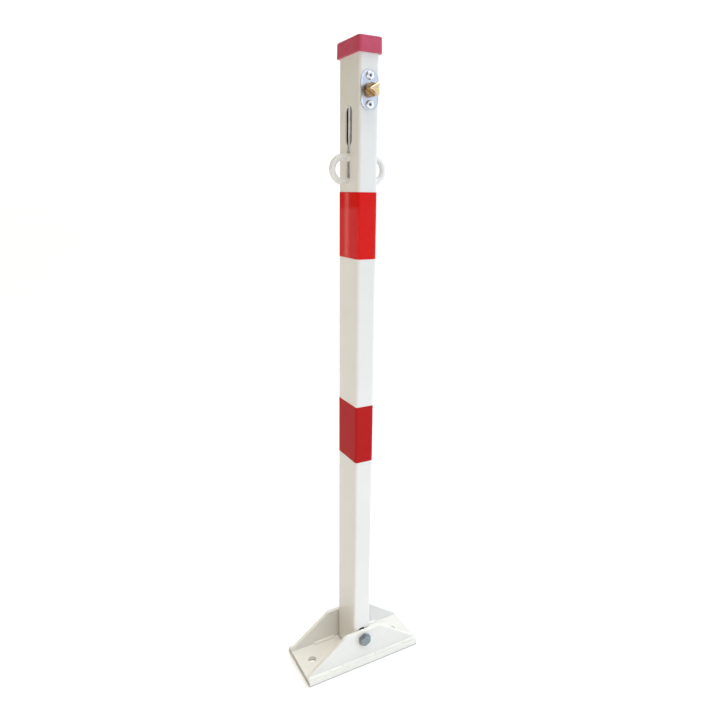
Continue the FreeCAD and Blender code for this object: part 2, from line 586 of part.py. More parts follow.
def make_lock_rivets():
    """Two blind rivets: domed head with the mandrel hole, shank and set tail."""
    rivets = []
    dome_radius = "((rivet_head^2 / 4 + rivet_dome^2) / (2 * rivet_dome))"
    head_y = f"({LOCK_FACE_Y} - rivet_dome)"
    for end, sign in (("upper", "+"), ("lower", "-")):
        height = f"{LOCK_Z} {sign} rivet_spacing / 2"
        ball = doc.addObject("Part::Sphere", f"rivet_{end}_ball")
        bind(ball, Radius=dome_radius)
        place(ball, ("0", f"{head_y} + {dome_radius}", height), ALONG_Y)
        rim = rod(f"rivet_{end}_rim", "rivet_head / 2", ("0", head_y, height), "rivet_dome")
        dome = common(f"rivet_{end}_dome", [ball, rim])
        shank = rod(f"rivet_{end}_shank", "rivet_shank / 2", ("0", LOCK_FACE_Y, height),
                    f"{FLANGE_Y} - {LOCK_FACE_Y}")
        tail = rod(f"rivet_{end}_tail", "rivet_tail / 2", ("0", FLANGE_Y, height), "rivet_tail_long")
        hole = rod(f"rivet_{end}_mandrel", "rivet_mandrel / 2", ("0", head_y, height),
                   f"{FLANGE_Y} - {head_y} - housing_flange_thick")
        rivets.append(cut(f"rivet_{end}", join(f"rivet_{end}_body", [dome, shank, tail]), [hole]))
    keep("lock_rivets", group("lock_rivets", rivets))


def make_lock_housing():
    """Flanged bearing behind the lock plate, and the friction washer on its end."""
    half_wide = "(tube_thick / 2 - tube_corner)"
    half_tall = "housing_flange_tall / 2"
    flange = block("housing_flange", (f"-{half_wide}", f"-{TUBE_INNER_Y}", f"{LOCK_Z} - {half_tall}"),
                   (half_wide, FLANGE_Y, f"{LOCK_Z} + {half_tall}"))
    barrel = rod("housing_barrel", "housing_barrel / 2", ("0", FLANGE_Y, LOCK_Z), "housing_barrel_long")
    bore = rod("housing_bore", "(spindle_journal + running_fit) / 2", ("0", f"-{TUBE_INNER_Y}", LOCK_Z),
               "housing_flange_thick + housing_barrel_long")
    holes = rivet_hole_tools("housing", f"-{TUBE_INNER_Y}", "housing_flange_thick")
    keep("lock_housing", cut("lock_housing", join("housing_body", [flange, barrel]), [bore, *holes]))

    disc = rod("friction_disc", "friction_across / 2", ("0", BARREL_Y, LOCK_Z), "friction_thick")
    hole = rod("friction_hole", "(spindle_journal + spindle_clear) / 2", ("0", BARREL_Y, LOCK_Z),
               "friction_thick")
    keep("friction_washer", cut("friction_washer", disc, [hole]))


def square_tool(name, across, start_y, length):
    """Square prism along Y with its flats, not its points, towards the crank pin."""
    return prism(name, 4, f"({across}) / sqrt(2)", ("0", start_y, LOCK_Z), length)


def make_key_spindle():
    """Brass spindle: triangular head, collar, journal and the square tenon for the crank disc."""
    head_start = ("0", f"{KEY_HEAD_Y} - key_head_long", LOCK_Z)
    triangle = prism("key_triangle", 3, "key_head_circle", head_start, "key_head_long")
    limit = rod("key_head_limit", "collar_across / 2", head_start, "key_head_long")
    head = common("key_head", [triangle, limit])
    collar = rod("key_collar", "collar_across / 2", ("0", KEY_HEAD_Y, LOCK_Z), "collar_long")
    journal = rod("key_journal", "spindle_journal / 2", ("0", COLLAR_Y, LOCK_Z), f"{DISC_Y} - {COLLAR_Y}")
    tenon = square_tool("key_tenon", "tenon_across", DISC_Y, "disc_thick")
    hole = rod("key_screw_hole", "(screw_shank + seat_fit) / 2", ("0", f"{DISC_BACK_Y} - screw_deep", LOCK_Z),
               "screw_deep")
    keep("key_spindle", cut("key_spindle", join("key_spindle_body", [head, collar, journal, tenon]), [hole]))


def make_crank():
    """Crank disc on the spindle's tenon, its pin, and the screw that holds it."""
    pin_x, pin_z = PIN_OFFSET, f"{LOCK_Z} + {PIN_OFFSET}"
    disc = rod("disc_blank", f"{DISC_ACROSS} / 2", ("0", DISC_Y, LOCK_Z), "disc_thick")
    pin_hole = rod("disc_pin_hole", "(crank_pin_across + seat_fit) / 2", (pin_x, DISC_Y, pin_z), "disc_thick")
    square_hole = square_tool("disc_square_hole", "tenon_across + seat_fit", DISC_Y, "disc_thick")
    keep("crank_disc", cut("crank_disc", disc, [pin_hole, square_hole]))
    keep("crank_pin", rod("crank_pin", "crank_pin_across / 2", (pin_x, DISC_Y, pin_z),
                          f"{BAR_BACK_Y} + crank_pin_past - {DISC_Y}"))
    shank = rod("screw_shank", "screw_shank / 2", ("0", f"{DISC_BACK_Y} - screw_deep", LOCK_Z), "screw_deep")
    head = rod("screw_head", "screw_head / 2", ("0", DISC_BACK_Y, LOCK_Z), "screw_head_tall")
    keep("crank_screw", join("crank_screw", [shank, head]))


def make_locking_bar():
    """Flat bar with the crank pin's yoke slot at the top and a slot that passes the hinge bolt."""
    bar = block("bar_blank", (f"-{BAR_WIDE} / 2", "bar_face", FOOT_Z),
                (f"{BAR_WIDE} / 2", BAR_BACK_Y, BAR_TOP_Z))
    pin_z = f"({LOCK_Z} + {PIN_OFFSET})"
    pin_half = "crank_pin_across / 2"
    yoke_half = f"({pin_half} + yoke_slack / 2)"
    yoke = block("bar_yoke", (f"{PIN_OFFSET} - {pin_half} - yoke_side_slack", "0", f"{pin_z} - {yoke_half}"),
                 (f"crank_throw + {pin_half} + yoke_side_slack", "tube_wide / 2", f"{pin_z} + {yoke_half}"))
    slot_top = f"{PIVOT_Z} + {BAR_TRAVEL} + bar_bolt_over_travel"
    bolt_slot = upright_slot("bar_bolt_slot", "bolt_shank + bar_bolt_slack", PIVOT_Z, slot_top,
                             ("0", "0"), "tube_wide / 2", ALONG_Y)
    keep("locking_bar", cut("locking_bar", bar, [yoke, bolt_slot]))


def guide_half(name, base, seat_y, bar_y):
    """Half of a bar guide, from the tube's inner face to the bar, with chamfered outer corners."""
    body = doc.addObject("PartDesign::Body", name)
    half = f"({TUBE_INNER_X} - seat_fit)"
    step = "- guide_chamfer" if seat_y.startswith("(") else "+ guide_chamfer"
    points = [(f"-{half}", bar_y), (half, bar_y), (half, f"{seat_y} {step}"),
              (f"{half} - guide_chamfer", seat_y), (f"-{half} + guide_chamfer", seat_y),
              (f"-{half}", f"{seat_y} {step}")]
    pad(body, outline(body, "XY_Plane", base, points, f"{name}_sketch"), "guide_tall", f"{name}_pad")
    return body


def make_bar_guide(label, base):
    """Nylon guide in two halves, one before and one behind the locking bar."""
    front = guide_half(f"{label}_front", base, f"-({TUBE_INNER_Y} - seat_fit)", "bar_face - guide_slack")
    back = guide_half(f"{label}_back", base, f"({TUBE_INNER_Y} - seat_fit)", f"{BAR_BACK_Y} + guide_slack")
    keep(label, group(label, [front, back]))


def build_all():
    """Build every sub-part in the order in which the bollard is put together."""
    fill_sheet()
    make_base_plate()
    make_side_plate("front", f"-{SIDE_OUTER_Y}", f"-{SIDE_INNER_Y}")
    make_side_plate("back", SIDE_INNER_Y, SIDE_OUTER_Y)
    make_outer_welds("front", f"-{SIDE_OUTER_Y}", False)
    make_outer_welds("back", SIDE_OUTER_Y, True)
    make_inner_welds()
    make_hinge()
    make_post_tube()
    make_top_cap()
    make_band("reflective_band_lower", "lower_band_base")
    make_band("reflective_band_upper", UPPER_BAND_Z)
    make_chain_eye("left", "-")
    make_chain_eye("right", "")
    make_lock_plate()
    make_lock_rivets()
    make_lock_housing()
    make_key_spindle()
    make_crank()
    make_locking_bar()
    for place_name, base in GUIDE_BASES.items():
        make_bar_guide(f"bar_guide_{place_name}", base)
    doc.recompute()


def write_parts():
    """Check the document and every sub-part, then write one STEP file for each."""
    failed = [item.Name for item in doc.Objects if {"Invalid", "Error"} & set(item.State)]
    if failed:
        raise RuntimeError(f"objects that did not compute: {failed}")
    for part in parts:
        if part.Shape.isNull() or not part.Shape.isValid() or not part.Shape.Solids:
            raise RuntimeError(f"{part.Label} has no valid solid")
    os.makedirs("parts", exist_ok=True)
    for part in parts:
        part.Shape.exportStep(f"parts/{part.Label}.step")
        print(f"{part.Label}: {len(part.Shape.Solids)} solid(s), {part.Shape.Volume:.0f} mm3")


build_all()
write_parts()
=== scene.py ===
"""Looks of a fold-down street bollard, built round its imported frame.

Lengths are metres, +Z is up, X is the direction the post folds in and the lock faces -Y.
Places come from the boxes of the frame's nodes; sizes that a box can't give are fields of
the class that makes the piece.
"""
import logging
from collections.abc import Callable, Iterator
from contextlib import contextmanager
from dataclasses import dataclass, field
from enum import Enum
from math import pi, radians

import bmesh
import bpy
from mathutils import Matrix, Vector


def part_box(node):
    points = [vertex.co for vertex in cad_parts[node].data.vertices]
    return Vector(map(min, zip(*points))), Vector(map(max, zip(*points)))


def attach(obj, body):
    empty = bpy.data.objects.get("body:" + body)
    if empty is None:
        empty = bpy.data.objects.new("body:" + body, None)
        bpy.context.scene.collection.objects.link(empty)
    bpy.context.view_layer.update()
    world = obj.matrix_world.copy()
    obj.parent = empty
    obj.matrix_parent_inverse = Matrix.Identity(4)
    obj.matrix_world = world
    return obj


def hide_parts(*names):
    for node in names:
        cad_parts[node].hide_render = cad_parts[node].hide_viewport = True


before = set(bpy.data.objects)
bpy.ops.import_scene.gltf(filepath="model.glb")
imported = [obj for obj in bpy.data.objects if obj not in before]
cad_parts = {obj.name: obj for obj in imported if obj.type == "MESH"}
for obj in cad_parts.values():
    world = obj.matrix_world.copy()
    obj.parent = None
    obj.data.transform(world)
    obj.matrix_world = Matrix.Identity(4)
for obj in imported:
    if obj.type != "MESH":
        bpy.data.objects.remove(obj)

LOG = logging.getLogger("bollard")
MM = 0.001
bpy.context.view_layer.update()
Piece = bpy.types.Object
Socket = bpy.types.NodeSocket
Material = bpy.types.Material
Colour = tuple[float, float, float]
Test = Callable[[Vector, Vector], bool]


class Along(Enum):
    """Axis that a turned piece lies on, as a unit vector."""

    X = Vector((1, 0, 0))
    Y = Vector((0, 1, 0))
    Z = Vector((0, 0, 1))


class Carve(Enum):
    """What a boolean does with its tool."""

    AWAY = "DIFFERENCE"
    ADD = "UNION"
    SHARE = "INTERSECT"


@dataclass(frozen=True)
class Extent:
    """Box of a frame node, or a box worked out from one."""

    low: Vector
    high: Vector

    @staticmethod
    def of(node: str) -> "Extent":
        """Box of the named frame node at rest."""
        return Extent(*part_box(node))

    @property
    def centre(self) -> Vector:
        """Middle of the box."""
        return (self.low + self.high) / 2

    @property
    def size(self) -> Vector:
        """Length of each side."""
        return self.high - self.low

    def grown(self, x: float, y: float, z: float) -> "Extent":
        """The box with both its sides on each axis moved out that far."""
        step = Vector((x, y, z))
        return Extent(self.low - step, self.high + step)


# ---- modelling helpers


def pick_only(piece: Piece) -> None:
    """Select one piece alone and make it active.

    Args:
        piece: the piece.
    """
    bpy.ops.object.select_all(action="DESELECT")
    piece.select_set(True)
    bpy.context.view_layer.objects.active = piece


@contextmanager
def editing(piece: Piece) -> Iterator[None]:
    """Open a piece in edit mode with nothing selected, and close it afterwards.

    Args:
        piece: the piece to edit.

    Returns:
        The editing session, for a with statement.
    """
    pick_only(piece)
    bpy.ops.object.mode_set(mode="EDIT")
    bpy.ops.mesh.select_all(action="DESELECT")
    yield
    bpy.ops.object.mode_set(mode="OBJECT")


def pick_edges(piece: Piece, wanted: Test) -> None:
    """Select edges of the piece in edit mode.

    Args:
        piece: the piece being edited.
        wanted: test on an edge's two ends.
    """
    bpy.ops.mesh.select_mode(type="EDGE")
    mesh = bmesh.from_edit_mesh(piece.data)
    for edge in mesh.edges:
        edge.select_set(wanted(edge.verts[0].co, edge.verts[1].co))
    bmesh.update_edit_mesh(piece.data)


def pick_faces(piece: Piece, wanted: Test) -> None:
    """Select faces of the piece in edit mode.

    Args:
        piece: the piece being edited.
        wanted: test on a face's middle and normal.
    """
    bpy.ops.mesh.select_mode(type="FACE")
    mesh = bmesh.from_edit_mesh(piece.data)
    for face in mesh.faces:
        face.select_set(wanted(face.calc_center_median(), face.normal))
    bmesh.update_edit_mesh(piece.data)


def settle(name: str) -> Piece:
    """Name the primitive just added, and move its place into its mesh.

    Args:
        name: the piece's name.

    Returns:
        The piece, alone selected.
    """
    piece = bpy.context.active_object
    piece.name = name
    pick_only(piece)
    bpy.ops.object.transform_apply(location=True, rotation=True, scale=True)
    return piece


def add_block(name: str, extent: Extent) -> Piece:
    """Block that fills a box."""
    bpy.ops.mesh.primitive_cube_add(size=1, location=extent.centre, scale=extent.size)
    return settle(name)


def add_rod(name: str, radius: float, start: Vector, end: Vector, sides: int = 64) -> Piece:
    """Cylinder or prism between two points.

    Args:
        name: the piece's name.
        radius: radius of the circle through its corners.
        start: middle of its first end.
        end: middle of its second end.
        sides: how many sides it has.

    Returns:
        The rod.
    """
    start, end = Vector(start), Vector(end)
    bpy.ops.mesh.primitive_cylinder_add(
        vertices=sides, radius=radius, depth=(end - start).length, location=(start + end) / 2,
        rotation=(end - start).to_track_quat("Z", "Y").to_euler())
    return settle(name)


def add_pin(name: str, radius: float, height: float, start: float, end: float, sides: int = 64) -> Piece:
    """Rod along Y at X = 0 and a height, between two places on Y."""
    return add_rod(name, radius, Vector((0, start, height)), Vector((0, end, height)), sides)


def carve(piece: Piece, tools: list[Piece], how: Carve = Carve.AWAY) -> None:
    """Apply tools to a piece one after another, and remove them.

    Args:
        piece: the piece that changes.
        tools: closed meshes.
        how: what each tool does.
    """
    for tool in tools:
        boolean = piece.modifiers.new("carve", "BOOLEAN")
        boolean.operation = how.value
        boolean.solver = "EXACT"
        boolean.object = tool
        apply_all(piece)
        bpy.data.objects.remove(tool)


def apply_all(piece: Piece) -> None:
    """Apply every modifier of a piece in order.

    Args:
        piece: the piece.
    """
    pick_only(piece)
    for modifier in list(piece.modifiers):
        bpy.ops.object.modifier_apply(modifier=modifier.name)


def round_edges(piece: Piece, radius: float, segments: int,
                wanted: Test) -> None:
    """Bevel chosen edges in edit mode.

    Args:
        piece: the piece to bevel.
        radius: size of the rounding.
        segments: steps in the rounding.
        wanted: test on an edge's two ends.
    """
    with editing(piece):
        pick_edges(piece, wanted)
        bpy.ops.mesh.bevel(offset=radius, offset_type="OFFSET", segments=segments, affect="EDGES")


def soften(piece: Piece, radius: float, segments: int = 3, limit: float = 30) -> None:
    """Break every edge sharper than a limit and shade the piece smooth.

    Args:
        piece: the piece to finish.
        radius: size of the broken edge.
        segments: steps in it.
        limit: the limit in degrees.
    """
    bevel = piece.modifiers.new("soften", "BEVEL")
    bevel.width = radius
    bevel.segments = segments
    bevel.limit_method = "ANGLE"
    bevel.angle_limit = radians(limit)
    bevel.use_clamp_overlap = True
    apply_all(piece)
    smooth(piece, limit)


def smooth(piece: Piece, limit: float = 35) -> None:
    """Shade smooth below an angle, with the large faces kept flat.

    Args:
        piece: the piece to shade.
        limit: degrees past which an edge stays sharp.
    """
    pick_only(piece)
    bpy.ops.object.shade_smooth_by_angle(angle=radians(limit))
    weighted = piece.modifiers.new("flat faces", "WEIGHTED_NORMAL")
    weighted.keep_sharp = True
    apply_all(piece)


def close_up(piece: Piece) -> None:
    """Merge doubled points and turn every face outwards.

    Args:
        piece: the piece to mend.
    """
    with editing(piece):
        bpy.ops.mesh.select_all(action="SELECT")
        bpy.ops.mesh.remove_doubles(threshold=1e-6)
        bpy.ops.mesh.normals_make_consistent(inside=False)


def slice_off(piece: Piece, point: Vector, outward: Vector) -> None:
    """Cut a piece with a plane, drop what lies outside it and close the cut.

    Args:
        piece: the piece to cut.
        point: a point on the plane.
        outward: the plane's normal, on the side that goes.
    """
    with editing(piece):
        bpy.ops.mesh.select_all(action="SELECT")
        bpy.ops.mesh.bisect(plane_co=point, plane_no=outward, use_fill=True, clear_outer=True)


def join_as(name: str, parts: list[Piece]) -> Piece:
    """Join separate solids into the first of them.

    Args:
        name: the whole piece's name.
        parts: the solids.

    Returns:
        The whole piece.
    """
    pick_only(parts[0])
    for part in parts:
        part.select_set(True)
    bpy.ops.object.join()
    parts[0].name = name
    return parts[0]


def is_upright(a: Vector, b: Vector) -> bool:
    """Whether an edge runs along Z."""
    return (b - a).length > 0 and abs((b - a).normalized().z) > 0.999


# ---- finishes


class Patterns:
    """Node tree that patterns are built in, for a material or for the surroundings."""

    def __init__(self, tree: bpy.types.NodeTree, coordinates: str) -> None:
        """Start with a set of coordinates.

        Args:
            tree: the tree to add to.
            coordinates: the texture coordinates that patterns follow.
        """
        self.tree = tree
        self.place = self.add("ShaderNodeTexCoord").outputs[coordinates]

    def add(self, kind: str, **settings: object) -> bpy.types.Node:
        """Add a node.

        Args:
            kind: the node's type.
            settings: its properties.

        Returns:
            The node.
        """
        node = self.tree.nodes.new(kind)
        for name, value in settings.items():
            setattr(node, name, value)
        return node

    def link(self, source: Socket, target: Socket) -> None:
        """Join two sockets."""
        self.tree.links.new(source, target)

    def along(self, axis: str) -> Socket:
        """Take one of the three coordinates.

        Args:
            axis: X, Y or Z.

        Returns:
            Its value.
        """
        parts = self.add("ShaderNodeSeparateXYZ")
        self.link(self.place, parts.inputs[0])
        return parts.outputs[axis]

    def stretched(self, x: float, y: float, z: float, origin: Vector = Vector()) -> Socket:
        """Coordinates measured from an origin and scaled along each axis.

        Args:
            x: scale along X.
            y: scale along Y.
            z: scale along Z.
            origin: point that becomes the pattern's middle.

        Returns:
            The coordinates.
        """
        mapping = self.add("ShaderNodeMapping", vector_type="POINT")
        mapping.inputs["Location"].default_value = [-origin[0] * x, -origin[1] * y, -origin[2] * z]
        mapping.inputs["Scale"].default_value = (x, y, z)
        self.link(self.place, mapping.inputs["Vector"])
        return mapping.outputs["Vector"]

    def noise(self, scale: float, detail: float = 4, rough: float = 0.5,
              where: Socket | None = None) -> Socket:
        """Cloudy pattern.

        Args:
            scale: cells to the metre.
            detail: octaves.
            rough: how strong the fine octaves are.
            where: coordinates, or the object's own.

        Returns:
            Its value from 0 to 1.
        """
        node = self.add("ShaderNodeTexNoise")
        node.inputs["Scale"].default_value = scale
        node.inputs["Detail"].default_value = detail
        node.inputs["Roughness"].default_value = rough
        self.link(where or self.place, node.inputs["Vector"])
        return node.outputs["Fac"]

    def cells(self, scale: float, colour: bool = False) -> Socket:
        """Cellular pattern.

        Args:
            scale: cells to the metre.
            colour: whether each cell has one random colour, not a distance.

        Returns:
            The pattern.
        """
        node = self.add("ShaderNodeTexVoronoi")
        node.inputs["Scale"].default_value = scale
        self.link(self.place, node.inputs["Vector"])
        return node.outputs["Color" if colour else "Distance"]

    def ramp(self, value: Socket, low: float, high: float, start: float = 0,
             end: float = 1) -> Socket:
        """Map a value from one range to another, held at the ends.

        Args:
            value: what is mapped.
            low: input that gives start.
            high: input that gives end.
            start: first output.
            end: last output.

        Returns:
            The mapped value.
        """
        node = self.add("ShaderNodeMapRange", interpolation_type="SMOOTHSTEP")
        for name, number in (("From Min", low), ("From Max", high), ("To Min", start), ("To Max", end)):
            node.inputs[name].default_value = number
        self.link(value, node.inputs["Value"])
        return node.outputs["Result"]

    def times(self, first: Socket, second: Socket) -> Socket:
        """Multiply two values.

        Args:
            first: a value.
            second: the other.

        Returns:
            Their product.
        """
        node = self.add("ShaderNodeMath", operation="MULTIPLY")
        self.link(first, node.inputs[0])
        self.link(second, node.inputs[1])
        return node.outputs[0]

    def blend(self, factor: Socket, first: object, second: object) -> Socket:
        """Mix two colours.

        Args:
            factor: 0 for the first, 1 for the second.
            first: colour or socket.
            second: colour or socket.

        Returns:
            The mixed colour.
        """
        node = self.add("ShaderNodeMix", data_type="RGBA")
        self.link(factor, node.inputs["Factor"])
        for name, colour in (("A", first), ("B", second)):
            socket = next(item for item in node.inputs if item.name == name and item.type == "RGBA")
            if isinstance(colour, Socket):
                self.link(colour, socket)
            else:
                socket.default_value = (*colour, 1)
        return next(item for item in node.outputs if item.type == "RGBA")


class Shader(Patterns):
    """Node tree of one material, with a Principled shader at its end."""

    def __init__(self, name: str) -> None:
        """Start an empty material.

        Args:
            name: the material's name.
        """
        self.material = bpy.data.materials.new(name)
        self.material.use_nodes = True
        super().__init__(self.material.node_tree, "Object")
        self.surface = self.tree.nodes["Principled BSDF"]
        self.bumped: Socket | None = None

    def set(self, **values: object) -> None:
        """Set sockets of the Principled shader.

        Args:
            values: socket names, with words joined by underscores, and their values.
        """
        for name, value in values.items():
            self.surface.inputs[name.replace("_", " ")].default_value = value

    def paint(self, colour: Socket) -> None:
        """Use a pattern as the base colour."""
        self.link(colour, self.surface.inputs["Base Color"])

    def roughen(self, pattern: Socket, smoothest: float, roughest: float) -> None:
        """Vary the roughness between two values with a pattern."""
        self.link(self.ramp(pattern, 0.3, 0.7, smoothest, roughest), self.surface.inputs["Roughness"])

    def bump(self, height: Socket, distance: float) -> None:
        """Add a relief on top of those before it.

        Args:
            height: pattern from 0 to 1.
            distance: metres from its lowest to its highest.
        """
        node = self.add("ShaderNodeBump")
        node.inputs["Strength"].default_value = 1
        node.inputs["Distance"].default_value = distance
        self.link(height, node.inputs["Height"])
        if self.bumped:
            self.link(self.bumped, node.inputs["Normal"])
        self.bumped = node.outputs["Normal"]
        self.link(self.bumped, self.surface.inputs["Normal"])


@dataclass(frozen=True)
class Paint:
    """White paint on steel: faint clouding, orange peel and a soft gloss.

    A painted contact shadow darkens it below a set height near the ground, broken into patches. Where end is set, the
    steel's cut faces that far from the middle are darker.
    """

    name: str
    colour: Colour
    shade: Colour
    peel: float = 0.04 * MM
    gloss: float = 0.34
    brushed_on: float = 0.0
    ground_shadow: float = 0.0
    end: float = 0.0
    # tone of the painted contact shadow and of the darker cut ends
    dark_tone: Colour = (0.34, 0.33, 0.30)

    def darkened(self, shader: Shader, colour: Socket) -> Socket:
        """Add a painted contact shadow near the ground and darker cut ends.

        Args:
            shader: the paint's shader.
            colour: the clean paint's colour.

        Returns:
            The paint's colour with the painted shadow and the darker ends.
        """
        patchy = shader.ramp(shader.noise(320, 3), 0.35, 0.65, 0.75, 1.0)
        # painted contact shadow along the ground line, broken up by the patchy noise
        if self.ground_shadow:
            low = shader.ramp(shader.along("Z"), 0.4 * self.ground_shadow, self.ground_shadow, 1, 0)
            colour = shader.blend(shader.times(low, patchy), colour, self.dark_tone)
        # darker cut faces at both ends of the plate
        if self.end:
            outward = shader.add("ShaderNodeMath", operation="ABSOLUTE")
            shader.link(shader.along("X"), outward.inputs[0])
            ends = shader.ramp(outward.outputs[0], self.end - 0.7 * MM, self.end - 0.1 * MM)
            colour = shader.blend(shader.times(ends, patchy), colour, self.dark_tone)
        return colour

    def material(self) -> Material:
        """Build the material."""
        shader = Shader(self.name)
        shader.set(Coat_Weight=0.35, Coat_Roughness=0.12, Specular_IOR_Level=0.5)
        clouds = shader.ramp(shader.noise(9, 5, 0.6), 0.38, 0.68)
        shader.paint(self.darkened(shader, shader.blend(clouds, self.colour, self.shade)))
        shader.roughen(shader.noise(60, 4), self.gloss - 0.06, self.gloss + 0.08)
        shader.bump(shader.noise(420, 2), self.peel)
        if self.brushed_on:
            shader.bump(shader.noise(70, 3), self.brushed_on)
        return shader.material


@dataclass(frozen=True)
class Sheeting:
    """Red retroreflective film: fine cells under a glossy face with long shallow ripples.

    It is duller the nearer it is to the ground.
    """

    name: str
    colour: Colour
    dull: Colour
    dull_below: float = 0.45
    bright_above: float = 0.72

    def material(self) -> Material:
        """Build the material."""
        shader = Shader(self.name)
        shader.set(Roughness=0.45, Coat_Weight=0.28, Coat_Roughness=0.04, Specular_IOR_Level=0.0)
        # darker towards the bottom, blended by height
        height = shader.ramp(shader.along("Z"), self.dull_below, self.bright_above)
        faded = shader.blend(height, self.dull, self.colour)
        cells = shader.ramp(shader.cells(520), 0.15, 0.75, 0, 0.3)
        shader.paint(shader.blend(cells, faded, self.dull))
        shader.bump(shader.noise(1, 3, 0.5, shader.stretched(190, 190, 16)), 0.45 * MM)
        shader.bump(shader.cells(520), 0.015 * MM)
        return shader.material


@dataclass(frozen=True)
class Moulding:
    """Satin moulded plastic with a fine spark-eroded grain."""

    name: str
    colour: Colour
    faded: Colour
    rough: float = 0.42

    def material(self) -> Material:
        """Build the material."""
        shader = Shader(self.name)
        shader.set(Specular_IOR_Level=0.4, Coat_Weight=0.1, Coat_Roughness=0.3)
        clouds = shader.ramp(shader.noise(45, 4, 0.6), 0.35, 0.7)
        shader.paint(shader.blend(clouds, self.colour, self.faded))
        shader.roughen(shader.noise(130, 3), self.rough - 0.05, self.rough + 0.08)
        shader.bump(shader.noise(2600, 2), 0.03 * MM)
        shader.bump(shader.noise(110, 2), 0.08 * MM)
        return shader.material


@dataclass(frozen=True)
class Plating:
    """Zinc plate or bare steel: slightly mottled metal, with spangles where they are set."""

    name: str
    colour: Colour
    dull: Colour
    rough: float = 0.33
    spangle: float = 0.0
    metallic: float = 1.0

    def material(self) -> Material:
        """Build the material."""
        shader = Shader(self.name)
        shader.set(Metallic=self.metallic)
        pattern = shader.cells(self.spangle, colour=True) if self.spangle else shader.noise(260, 4, 0.6)
        mottle = shader.ramp(pattern, 0.3, 0.75)
        shader.paint(shader.blend(mottle, self.colour, self.dull))
        shader.roughen(shader.noise(180, 3), self.rough - 0.07, self.rough + 0.12)
        shader.bump(shader.noise(700, 3), 0.03 * MM)
        return shader.material


@dataclass(frozen=True)
class Brushed:
    """Bright steel with a fine grain along one axis."""

    name: str
    colour: Colour
    along: Along = Along.Z

    def material(self) -> Material:
        """Build the material."""
        shader = Shader(self.name)
        shader.set(Metallic=1.0)
        scales = [60 if axis else 2400 for axis in self.along.value]
        grain = shader.noise(1, 3, 0.5, shader.stretched(*scales))
        shader.paint(shader.blend(shader.ramp(grain, 0.3, 0.7), self.colour, [0.8 * part for part in self.colour]))
        shader.roughen(grain, 0.22, 0.36)
        shader.bump(grain, 0.01 * MM)
        return shader.material


@dataclass(frozen=True)
class Turned:
    """Turned brass: rings round the lathe axis, spots of tarnish on the head, and a collar behind the head darkened by
    tarnish and painted shade.
    """

    name: str
    colour: Colour
    tarnish_and_shade: Colour
    axis: Vector
    shade_and_tarnish_from: float

    def material(self) -> Material:
        """Build the material."""
        shader = Shader(self.name)
        shader.set(Metallic=1.0)
        around = shader.add("ShaderNodeVectorMath", operation="LENGTH")
        shader.link(shader.stretched(1, 0.25, 1, self.axis), around.inputs[0])
        rings = shader.add("ShaderNodeTexNoise", noise_dimensions="1D")
        rings.inputs["Scale"].default_value = 3500
        shader.link(around.outputs["Value"], rings.inputs["W"])
        # painted shade with tarnish: the collar behind the head is dark
        collar_shade_and_tarnish = shader.ramp(shader.along("Y"), self.shade_and_tarnish_from - 3 * MM, self.shade_and_tarnish_from + 1 * MM, 0, 0.75)
        spots = shader.ramp(shader.noise(240, 4, 0.65), 0.42, 0.75, 0, 0.6)
        rubbed = shader.blend(spots, self.colour, self.tarnish_and_shade)
        shader.paint(shader.blend(collar_shade_and_tarnish, rubbed, self.tarnish_and_shade))
        shader.roughen(shader.noise(300, 3), 0.16, 0.3)
        shader.bump(rings.outputs["Fac"], 0.012 * MM)
        return shader.material


class Finishes:
    """Every finish of the bollard, one material for each."""

    def __init__(self) -> None:
        """Mix every finish once."""
        white, cream = (0.76, 0.75, 0.715), (0.735, 0.725, 0.69)
        plate = Extent.of("base_plate")
        self.post = Paint("post white", white, cream).material()
        self.base = Paint("base white", white, cream, 0.05 * MM, 0.38, 0.25 * MM).material()
        # the foot plate's paint carries a painted contact shadow along the ground
        self.foot = Paint("foot white", white, cream, 0.05 * MM, 0.38, 0.25 * MM,
                          ground_shadow=2.8 * MM, end=plate.high.x).material()
        self.steel = Plating("mill steel", (0.10, 0.10, 0.105), (0.05, 0.05, 0.052), 0.6).material()
        self.red = Sheeting("red sheeting", (0.70, 0.010, 0.008), (0.43, 0.006, 0.007)).material()
        self.cap = Moulding("crimson moulding", (0.47, 0.042, 0.090), (0.53, 0.065, 0.125)).material()
        self.zinc = Plating("zinc plate", (0.27, 0.32, 0.34), (0.17, 0.21, 0.22), 0.3).material()
        self.bar = Plating("galvanised bar", (0.80, 0.80, 0.79), (0.66, 0.66, 0.66), 0.45, 160, 0.25).material()
        self.casting = Plating("cast zinc", (0.46, 0.46, 0.47), (0.33, 0.33, 0.34), 0.5).material()
        self.bright = Brushed("bright steel", (0.68, 0.69, 0.72)).material()
        self.aluminium = Plating("rivet aluminium", (0.92, 0.93, 0.96), (0.84, 0.85, 0.88), 0.38).material()
        spindle = Extent.of("key_spindle")
        # the spindle's collar is darkened by tarnish and painted shade
        self.brass = Turned("turned brass", (0.90, 0.67, 0.38), (0.17, 0.10, 0.06), spindle.centre,
                            spindle.low.y + 12 * MM).material()
        self.nylon = Moulding("natural nylon", (0.72, 0.71, 0.65), (0.66, 0.65, 0.59), 0.5).material()
        # the mandrel's near-black is partly its own steel and partly painted shade for the rivet's hole
        self.mandrel = Plating("rivet mandrel", (0.10, 0.10, 0.11), (0.05, 0.05, 0.06), 0.5).material()
        self.floor = Moulding("pale floor", (0.985, 0.985, 0.985), (0.98, 0.98, 0.98), 0.7).material()


